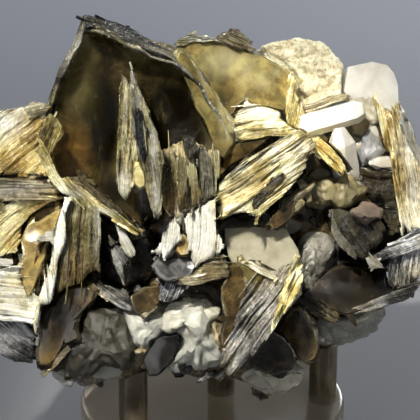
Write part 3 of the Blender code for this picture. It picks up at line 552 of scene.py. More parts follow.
# Pale patches: partly the mica's own pale colour, partly painted light and painted highlights.
PALE_AND_LIGHT = {
    "muscovite_sheaf_left_upper": [(10, 190, 24, 7, 0.5), (44, 186, 14, 6, 0.35)],
    "muscovite_book_left_foot": [(38, 350, 4, 22, 0.5)],
    "muscovite_book_left_upright": [(98, 225, 3, 34, 0.7), (66, 250, 3, 30, 0.35)],
    "muscovite_book_main": [
        (212, 98, 8, 26, 0.9), (228, 130, 12, 20, 1.0), (190, 66, 22, 8, 0.4), (78, 88, 15, 34, 0.3),
        (78, 44, 12, 14, 0.25), (150, 54, 30, 6, 0.2),
    ],
    "muscovite_sheaf_centre_low": [(196, 240, 30, 30, 0.9)],
    "muscovite_sheaf_centre": [(205, 214, 24, 16, 1.0)],
    "muscovite_tongue_centre_low": [(170, 240, 30, 30, 0.9)],
    "muscovite_sheaf_left_top": [(4, 122, 18, 14, 1.0), (20, 110, 14, 6, 0.8)],
    "muscovite_book_right_edge": [(410, 135, 9, 34, 0.9), (414, 190, 9, 30, 0.7), (406, 222, 8, 14, 0.5)],
    "muscovite_book_right_fan": [(350, 248, 14, 4, 0.5), (345, 222, 4, 10, 0.4)],
    "muscovite_flake_recess": [(114, 252, 5, 4, 1.0), (120, 266, 4, 10, 0.8)],
    "muscovite_sheaf_recess_low": [(112, 294, 12, 3, 0.8)],
    "muscovite_sheaf_left_bottom": [(16, 334, 14, 5, 0.6), (8, 352, 10, 3, 0.6)],
    "muscovite_blade_under_main": [(72, 193, 14, 5, 0.7), (100, 212, 16, 4, 0.6)],
    "main_rim": [
        (222, 104, 4, 30, 0.7), (230, 124, 4, 22, 0.9), (236, 142, 5, 14, 1.0), (205, 76, 4, 20, 0.6),
    ],
    "muscovite_fin_left": [(124, 184, 8, 16, 0.6), (126, 100, 3, 24, 0.3)],
    "muscovite_fin_right": [
        (133, 78, 4, 18, 0.7), (154, 150, 3, 28, 0.8), (156, 198, 4, 18, 0.8), (138, 102, 4, 12, 0.6),
    ],
    "muscovite_book_upper_right": [
        (226, 60, 20, 14, 0.6), (262, 82, 8, 8, 0.5), (276, 72, 6, 5, 0.4), (246, 70, 10, 20, 0.35),
    ],
    "muscovite_sheaf_saddle": [(245, 110, 30, 12, 0.6)],
    "muscovite_sheaf_diagonal": [(300, 150, 16, 10, 0.6), (262, 150, 30, 8, 0.35)],
}
PATCHES = {"warm": GOLDEN_AND_GLOW, "dark": DARK_AND_SHADE, "pale": PALE_AND_LIGHT}


def painted(stack, node, tone=1.0):
    """Adds how bright the piece is, partly its own colour and partly painted light and shade, and the
    strength of each kind of patch at each point: golden colour with painted glow, dark colour with painted
    shade, pale colour with painted light.
    """
    across, down = photo_place(stack["points"])
    stack["tone"] = np.full(len(across), tone)
    for name, table in PATCHES.items():
        total = np.zeros(len(across))
        for patch in table.get(node, ()):
            total = np.maximum(total, patch[4] * np.exp(-photo_patch(across, down, patch)))
        stack[name] = total
    return stack


def add(name, mesh, *materials):
    """A new object in the scene."""
    thing = bpy.data.objects.new(name, mesh)
    bpy.context.scene.collection.objects.link(thing)
    for material in materials:
        mesh.materials.append(material)
    return thing


def carried(piece, node=None):
    """Fixes a piece to the part's one body, and hides the CAD node that it stands for, if any."""
    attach(piece, "root")
    if node:
        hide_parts(node)


class Nodes:
    """Short names for the shader nodes of one material."""

    def __init__(self, name):
        self.material = bpy.data.materials.new(name)
        self.material.use_nodes = True
        self.tree = self.material.node_tree
        self.shader = self.tree.nodes["Principled BSDF"]

    def link(self, source, socket):
        if isinstance(source, (int, float)):
            socket.default_value = source
        elif isinstance(source, tuple):
            socket.default_value = (*source, 1.0)[:len(socket.default_value)]
        else:
            self.tree.links.new(source, socket)

    def node(self, kind, inputs, output=0, **settings):
        """The output of a new node with these settings and inputs."""
        node = self.tree.nodes.new("ShaderNode" + kind)
        for name, value in settings.items():
            setattr(node, name, value)
        for place, source in inputs.items():
            self.link(source, node.inputs[place])
        return node.outputs[output]

    def attribute(self, name):
        return self.node("Attribute", {}, "Fac", attribute_name=name)

    def place(self):
        return self.node("TexCoord", {}, "Object")

    def noise(self, scale, detail=3.0, rough=0.55, warp=0.0, vector=None):
        inputs = {"Scale": scale, "Detail": detail, "Roughness": rough, "Distortion": warp}
        return self.node("TexNoise", {**inputs, "Vector": vector or self.place()}, "Fac")

    def drawn(self, along, across):
        """Coordinates that change slowly along the sheets and fast across them."""
        slow = self.scaled(self.place(), along)
        fast = self.node("CombineXYZ", {0: self.times(self.attribute("level"), across)})
        return self.node("VectorMath", {0: slow, 1: fast})

    def stretched(self, scale, turn=(0.0, 0.0, 0.0)):
        return self.node("Mapping", {"Vector": self.place(), "Rotation": turn, "Scale": scale})

    def voronoi(self, scale, output="Distance"):
        return self.node("TexVoronoi", {"Scale": scale, "Vector": self.place()}, output)

    def times(self, a, b):
        return self.node("Math", {0: a, 1: b}, operation="MULTIPLY")

    def total(self, *terms):
        """The sum of values, each times its share."""
        first, *others = (self.times(value, share) for value, share in terms)
        for term in others:
            first = self.node("Math", {0: first, 1: term}, operation="ADD")
        return first

    def ranged(self, value, low, high, to_low=0.0, to_high=1.0):
        inputs = {0: value, 1: low, 2: high, 3: to_low, 4: to_high}
        return self.node("MapRange", inputs, interpolation_type="SMOOTHSTEP")

    def mix(self, share, a, b, how="MIX"):
        return self.node("Mix", {0: share, 6: a, 7: b}, 2, data_type="RGBA", blend_type=how)

    def ramp(self, value, *stops):
        node = self.tree.nodes.new("ShaderNodeValToRGB")
        ramp = node.color_ramp
        ramp.elements[0].position = stops[0][0]
        ramp.elements[1].position = stops[-1][0]
        for place, colour in stops[1:-1]:
            ramp.elements.new(place)
        for element, (place, colour) in zip(ramp.elements, stops):
            element.position = place
            element.color = (*colour, 1.0)
        self.link(value, node.inputs[0])
        return node.outputs[0]

    def bump(self, height, strength, distance):
        inputs = {"Strength": strength, "Distance": distance, "Height": height}
        self.link(self.node("Bump", inputs), self.shader.inputs["Normal"])

    def scaled(self, vector, share):
        """A vector or a colour, times a share."""
        return self.node("VectorMath", {0: vector, 3: share}, operation="SCALE")

    def toned(self, colour):
        """The colour made darker or brighter by a piece's own share: partly its own colour, partly painted
        light and shade.
        """
        return self.scaled(colour, self.attribute("tone"))

    def finish(self, colour, rough, **fixed):
        self.link(colour, self.shader.inputs["Base Color"])
        self.link(rough, self.shader.inputs["Roughness"])
        for name, value in fixed.items():
            socket = self.shader.inputs[name.replace("_", " ").title().replace("Ior", "IOR")]
            socket.default_value = value
        return self.material


def dimmed(colour, share):
    """A colour times a share, at most 1."""
    return tuple(min(1.0, part * share) for part in colour)


def mica_face(name, body, deep, warm, pale, gloss=0.26):
    """The glossy face of a book: cloudy brown glass with fine growth lines, a thin pale rim of painted light,
    and patches that are partly its own colour, partly painted glow, shade and light.
    """
    n = Nodes(name)
    cloud = n.noise(130, 4, 0.6, 0.8)
    fine = n.noise(420, 3, 0.6, 0.4)
    colour = n.mix(n.ranged(cloud, 0.36, 0.66), deep, body)
    colour = n.mix(n.times(n.ranged(fine, 0.5, 0.8), 0.45), colour, warm)
    # Golden patches: golden mica and painted glow of light through the sheets.
    colour = n.mix(n.times(n.attribute("warm"), n.ranged(cloud, 0.2, 0.6, 0.6, 1.0)), colour, warm)
    # Dark patches: dark mica and painted shade.
    colour = n.mix(n.times(n.attribute("dark"), 0.93), colour, dimmed(deep, 0.16))
    colour = n.scaled(colour, n.ranged(n.noise(300, 5, 0.65, 0.5), 0.38, 0.64, 0.6, 1.35))
    # Painted light: a pale band along the thin rim, where light shines through the face's edge.
    rim = n.total((n.attribute("rim"), 1.0), (n.ranged(cloud, 0.3, 0.7, -0.6, 0.6), 1.0))
    colour = n.mix(n.ranged(rim, 0.0, 0.5, 0.25, 0.0), colour, pale)
    lines = n.noise(440, 5, 0.6, 0.3, n.stretched((1.0, 0.12, 0.3), (0.3, 0.5, 0.2)))
    colour = n.mix(n.ranged(lines, 0.56, 0.74, 0.0, 0.1), colour, pale)
    # Pale patches: pale mica and painted light.
    colour = n.mix(n.times(n.attribute("pale"), n.ranged(cloud, 0.25, 0.6, 0.7, 1.0)), colour, pale)
    n.bump(n.total((lines, 0.25), (fine, 0.5)), 0.4, 0.0003)
    rough = n.ranged(fine, 0.3, 0.8, gloss - 0.08, gloss + 0.04)
    return n.finish(
        n.toned(colour), rough, specular_ior_level=0.32, coat_weight=0.12, coat_roughness=0.1, ior=1.58,
    )


def torn_ramp(n, tone, light, mid, dark):
    """The colour of broken mica by its tone."""
    return n.ramp(tone, (0.2, dark), (0.45, mid), (0.68, light), (0.9, dimmed(light, 1.25)))


def tinted(n, tone, colour, dark):
    """A broken surface's colour with its patches: golden colour with painted glow, pale colour with painted
    light, and dark colour with painted shade.
    """
    gold_and_glow = n.ramp(tone, (0.2, (0.06, 0.028, 0.006)), (0.5, (0.36, 0.225, 0.045)), (0.85, (0.8, 0.62, 0.22)))
    colour = n.mix(n.times(n.attribute("warm"), 0.9), colour, gold_and_glow)
    painted_light_ramp = n.ramp(tone, (0.15, (0.3, 0.28, 0.2)), (0.4, (0.84, 0.83, 0.74)), (0.75, (0.98, 0.97, 0.93)))
    colour = n.mix(n.times(n.attribute("pale"), 0.92), colour, painted_light_ramp)
    return n.mix(n.times(n.attribute("dark"), 0.92), colour, dimmed(dark, 0.4))


def mica_edge(name, light, mid, dark, metal=0.2):
    """The torn edges of a book's sheets: silvery and amber streaks, the seams between them darkened by
    painted shade, and small painted glints.
    """
    n = Nodes(name)
    streaks = n.ranged(n.noise(1.0, 4, 0.6, 0.0, n.drawn(170, 5.0)), 0.34, 0.66)
    hairs = n.ranged(n.noise(1.0, 3, 0.6, 0.0, n.drawn(620, 9.0)), 0.36, 0.64)
    broad = n.ranged(n.noise(120, 5, 0.65, 0.8), 0.34, 0.66)
    tone = n.total((streaks, 0.28), (hairs, 0.18), (n.attribute("shade"), 0.14), (broad, 0.5), (1.0, -0.04))
    # Painted shade in the seams between sheets: their faces go a quarter of the way to the dark colour.
    slits = n.ranged(n.attribute("rim"), -1.0, -0.2, 1.0, 0.0)
    colour = n.mix(n.times(slits, 0.25), torn_ramp(n, tone, light, mid, dark), dimmed(dark, 0.8))
    amber = n.ranged(n.noise(75, 4, 0.6, 0.6), 0.48, 0.64, 0.0, 0.6)
    colour = tinted(n, tone, n.mix(amber, colour, (1.0, 0.87, 0.5), "MULTIPLY"), dark)
    rough = n.ranged(n.voronoi(1500, "Color"), 0.55, 0.9, 0.2, 0.55)
    n.bump(n.total((streaks, 1.0), (hairs, 0.6)), 0.6, 0.0003)
    # Painted glints: small bright specks put into the colour.
    painted_glint = n.ranged(n.voronoi(2100, "Color"), 0.72, 0.78, 0.0, 0.5)
    painted_glint = n.times(painted_glint, n.ranged(hairs, 0.55, 0.75))
    colour = n.toned(n.mix(painted_glint, colour, (0.8, 0.77, 0.64)))
    return n.finish(
        colour, rough, metallic=metal, specular_ior_level=0.45, ior=1.58,
        coat_weight=0.2, coat_roughness=0.16,
    )


def mica_torn(name, light, mid, dark, metal=0.2):
    """Mica broken across its sheets: mottled and granular, with small glints."""
    n = Nodes(name)
    coarse = n.ranged(n.noise(420, 5, 0.66, 0.4), 0.34, 0.66)
    streaks = n.ranged(n.noise(1.0, 3, 0.6, 0.0, n.drawn(330, 3.0)), 0.35, 0.65)
    cells = n.voronoi(1500, "Color")
    tone = n.total((coarse, 0.42), (streaks, 0.36), (cells, 0.22))
    colour = tinted(n, tone, torn_ramp(n, tone, light, mid, dark), dark)
    n.bump(n.total((coarse, 1.0), (cells, 0.35)), 0.9, 0.0006)
    rough = n.ranged(cells, 0.3, 0.9, 0.15, 0.55)
    return n.finish(n.toned(colour), rough, metallic=metal, specular_ior_level=0.45, ior=1.58)


def massive_quartz():
    """Milky quartz with brown veils, and the dark earthy crust on it, which also paints the shade in the gaps
    between the books.
    """
    n = Nodes("milky_quartz")
    cloud = n.noise(60, 5, 0.6, 0.6)
    grain = n.noise(380, 4, 0.65)
    veil = n.noise(130, 4, 0.6, 1.5)
    colour = n.ramp(cloud, (0.3, (0.26, 0.25, 0.2)), (0.5, (0.42, 0.41, 0.35)), (0.68, (0.6, 0.59, 0.53)))
    colour = n.mix(n.ranged(veil, 0.58, 0.75, 0.0, 0.6), colour, (0.5, 0.38, 0.18))
    colour = n.mix(n.ranged(grain, 0.62, 0.8, 0.0, 0.5), colour, (0.25, 0.24, 0.22))
    crust_and_shade_colour = n.mix(n.ranged(grain, 0.4, 0.65), (0.035, 0.024, 0.012), (0.17, 0.12, 0.055))
    colour = n.mix(n.ranged(n.attribute("crust"), 0.35, 0.65), colour, crust_and_shade_colour)
    n.bump(n.total((grain, 1.0), (n.voronoi(320), 1.2)), 0.5, 0.0006)
    return n.finish(
        colour, n.ranged(grain, 0.3, 0.8, 0.16, 0.42), specular_ior_level=0.55, ior=1.54,
        subsurface_weight=0.35, subsurface_radius=(0.004, 0.004, 0.0035), subsurface_scale=0.6,
    )


def pale_crystal(name, light, shade, gloss):
    """Albite or quartz that lets a little light in."""
    n = Nodes(name)
    cloud = n.noise(150, 4, 0.6, 1.0)
    fine = n.noise(900, 3, 0.6)
    colour = n.ramp(cloud, (0.3, shade), (0.6, light))
    colour = n.mix(n.ranged(fine, 0.6, 0.8, 0.0, 0.25), colour, dimmed(shade, 0.7))
    n.bump(n.total((fine, 1.0), (n.voronoi(500), 0.6)), 0.35, 0.0003)
    return n.finish(
        colour, n.ranged(fine, 0.3, 0.8, gloss, gloss + 0.2), specular_ior_level=0.5, ior=1.53,
        subsurface_weight=0.4, subsurface_radius=(0.003, 0.0028, 0.0022), subsurface_scale=0.7,
        transmission_weight=0.15,
    )


def acrylic():
    n = Nodes("clear_acrylic")
    haze = n.noise(40, 3, 0.5, 0.5)
    n.bump(n.noise(1400, 2, 0.5), 0.05, 0.0001)
    colour = n.mix(haze, (0.58, 0.5, 0.36), (0.68, 0.61, 0.47))
    return n.finish(colour, n.ranged(haze, 0.3, 0.7, 0.08, 0.2), transmission_weight=0.8, ior=1.49)


def dark_steel():
    n = Nodes("dark_steel")
    cloud = n.noise(120, 4, 0.6)
    streak = n.noise(1500, 3, 0.6, 0.0, n.stretched((1.0, 1.0, 0.04)))
    colour = n.mix(n.ranged(cloud, 0.35, 0.7), (0.12, 0.098, 0.062), (0.26, 0.215, 0.14))
    colour = n.mix(n.ranged(streak, 0.55, 0.75, 0.0, 0.5), colour, (0.4, 0.35, 0.27))
    n.bump(n.total((streak, 1.0), (n.noise(900, 3), 1.0)), 0.3, 0.0001)
    return n.finish(colour, n.ranged(streak, 0.3, 0.7, 0.28, 0.5), metallic=0.7)


# Looks of mica in layers: the slot, a face's body, deep, warm and pale colours, an edge's light, middle and
# dark ones, how metallic the edge is and how rough the face is. The warm colour also serves the painted glow,
# and the pale one the painted light of the rim and the pale patches.
LAYERED = {
    "black": (
        "dark", ((0.035, 0.03, 0.022), (0.008, 0.007, 0.005), (0.1, 0.06, 0.02), (0.14, 0.125, 0.085)),
        ((0.3, 0.3, 0.3), (0.04, 0.04, 0.042), (0.006, 0.006, 0.007)), 0.35,
    ),
    "main": (
        "dark", ((0.065, 0.05, 0.018), (0.017, 0.012, 0.004), (0.12, 0.06, 0.01), (0.2, 0.175, 0.07)),
        ((0.1, 0.088, 0.045), (0.034, 0.028, 0.013), (0.007, 0.006, 0.003)), 0.15,
    ),
    "umber": (
        "dark", ((0.095, 0.066, 0.028), (0.022, 0.014, 0.007), (0.24, 0.135, 0.035), (0.42, 0.36, 0.2)),
        ((0.42, 0.37, 0.22), (0.12, 0.088, 0.036), (0.018, 0.012, 0.004)),
    ),
    "brown": (
        "brown", ((0.24, 0.165, 0.06), (0.07, 0.043, 0.016), (0.42, 0.26, 0.06), (0.62, 0.54, 0.3)),
        ((0.62, 0.55, 0.34), (0.24, 0.18, 0.066), (0.035, 0.023, 0.007)),
    ),
    "ash": (
        "olive", ((0.2, 0.18, 0.1), (0.09, 0.078, 0.042), (0.3, 0.22, 0.08), (0.5, 0.48, 0.36)),
        ((0.42, 0.39, 0.27), (0.18, 0.16, 0.095), (0.035, 0.03, 0.018)), 0.15,
    ),
    "olive": (
        "olive", ((0.42, 0.35, 0.12), (0.19, 0.14, 0.04), (0.4, 0.25, 0.05), (0.74, 0.68, 0.38)),
        ((0.78, 0.73, 0.42), (0.34, 0.285, 0.08), (0.095, 0.07, 0.016)),
    ),
    "golden": (
        "golden", ((0.55, 0.42, 0.12), (0.32, 0.2, 0.04), (0.48, 0.25, 0.04), (0.9, 0.82, 0.5)),
        ((0.93, 0.87, 0.56), (0.54, 0.43, 0.13), (0.23, 0.145, 0.03)),
    ),
    "cream": (
        "silver", ((0.5, 0.45, 0.22), (0.26, 0.21, 0.08), (0.5, 0.36, 0.1), (0.88, 0.84, 0.58)),
        ((0.95, 0.93, 0.7), (0.57, 0.5, 0.21), (0.2, 0.15, 0.045)),
    ),
    "white": (
        "silver", ((0.8, 0.78, 0.68), (0.55, 0.52, 0.4), (0.7, 0.58, 0.3), (0.95, 0.94, 0.88)),
        ((0.95, 0.94, 0.86), (0.76, 0.73, 0.58), (0.34, 0.3, 0.19)), 0.1,
    ),
    "steel": (
        "silver", ((0.3, 0.3, 0.29), (0.1, 0.1, 0.095), (0.3, 0.24, 0.13), (0.75, 0.75, 0.73)),
        ((0.95, 0.95, 0.96), (0.14, 0.14, 0.145), (0.012, 0.012, 0.013)), 0.3, 0.2,
    ),
}
# Looks of mica broken all over: the slot, its light, middle and dark colours, and how metallic it is.
BROKEN = {
    "torn_olive": ("olive", ((0.64, 0.59, 0.33), (0.23, 0.195, 0.07), (0.042, 0.033, 0.009))),
    "torn_cream": ("silver", ((0.84, 0.8, 0.6), (0.7, 0.64, 0.43), (0.42, 0.35, 0.19)), 0.05),
    "torn_golden": ("golden", ((0.92, 0.87, 0.6), (0.52, 0.4, 0.12), (0.13, 0.08, 0.018))),
    "torn_brown": ("brown", ((0.52, 0.36, 0.15), (0.2, 0.12, 0.04), (0.03, 0.018, 0.008))),
    "torn_black": ("dark", ((0.12, 0.12, 0.115), (0.03, 0.03, 0.028), (0.006, 0.006, 0.006)), 0.1),
    "torn_silver": ("silver", ((0.72, 0.7, 0.66), (0.3, 0.28, 0.25), (0.05, 0.04, 0.03)), 0.4),
}
LOOKS = {}  # the materials of a book's faces and edges
for look, (slot, face, edge, *gleam) in LAYERED.items():
    glossy = mica_face(look + "_mica", *face, *gleam[1:])
    LOOKS[look] = glossy, mica_edge(look + "_mica_edge", *edge, *gleam[:1])
for look, (slot, colours, *gleam) in BROKEN.items():
    mottled = mica_torn(look + "_mica", *colours, *gleam)
    LOOKS[look] = mottled, mica_edge(look + "_mica_edge", *colours, *gleam)
SLOT_OF_LOOK = {look: "muscovite_" + row[0] for look, row in (*LAYERED.items(), *BROKEN.items())}


class Seen:
    """A book drawn as the photograph shows it, with its outline in pixels.

    front and back are millimetres behind the middle plane; with none, it lies on what is behind it.
    edge=(lie, roll): its sheets show their edges and run lie degrees up from the right.
    face=(turn, tip): they show their face.
    tone: how much darker or brighter its colours are, partly its own colour and partly painted light and
    shade.
    """

    def __init__(self, look, outline, front=None, back=None, edge=None, face=None, tone=1.0, **settings):
        self.look = look
        self.tone = tone
        self.flat = pixels(outline)
        self.front = front
        self.back = back
        self.axes = edge_axes(*edge) if edge else face_axes(*face)
        self.settings = {**(FINE if edge else SMOOTH), "grow": 0.3, **settings}


def edge_axes(lie, roll):
    """The axes of a book whose sheets show their edges."""
    lie = math.radians(lie)
    along = RIGHT * math.cos(lie) + UP * math.sin(lie)
    across = UP * math.cos(lie) - RIGHT * math.sin(lie)
    normal = Matrix.Rotation(math.radians(roll), 3, along) @ across
    return along, normal.cross(along), normal


def face_axes(turn, tip):
    """The axes of a book whose sheets show their face."""
    turn, tip = math.radians(turn), math.radians(tip)
    normal = VIEW * math.cos(turn) * math.cos(tip) + RIGHT * math.sin(turn) + UP * math.sin(tip)
    normal.normalize()
    x = (RIGHT - normal * RIGHT.dot(normal)).normalized()
    return x, normal.cross(x), normal


CREST = "muscovite_book_crest"
MAIN = "muscovite_book_main"

# Books that keep to their solid: look, tone and settings. The tone is partly the book's own colour, partly
# painted light and shade.
BOOKS = {
    MAIN: ("main", 1.5, dict(
        sheet=0.4, rings=34, spacing=0.8, dished=True, terraces=0, wave=0.25, grow=0.3, extra=0, lobes=0.4,
    )),
    "muscovite_book_recess": ("black", 0.8, SMOOTH),
    "muscovite_plate_black": ("black", 0.25, SMOOTH),
    "muscovite_plate_amber": ("brown", 0.35, SMOOTH),
    "muscovite_plate_saddle_brown": ("brown", 0.8, SMOOTH),
    "muscovite_sheaf_diagonal_foot": ("umber", 0.7, FINE),
}

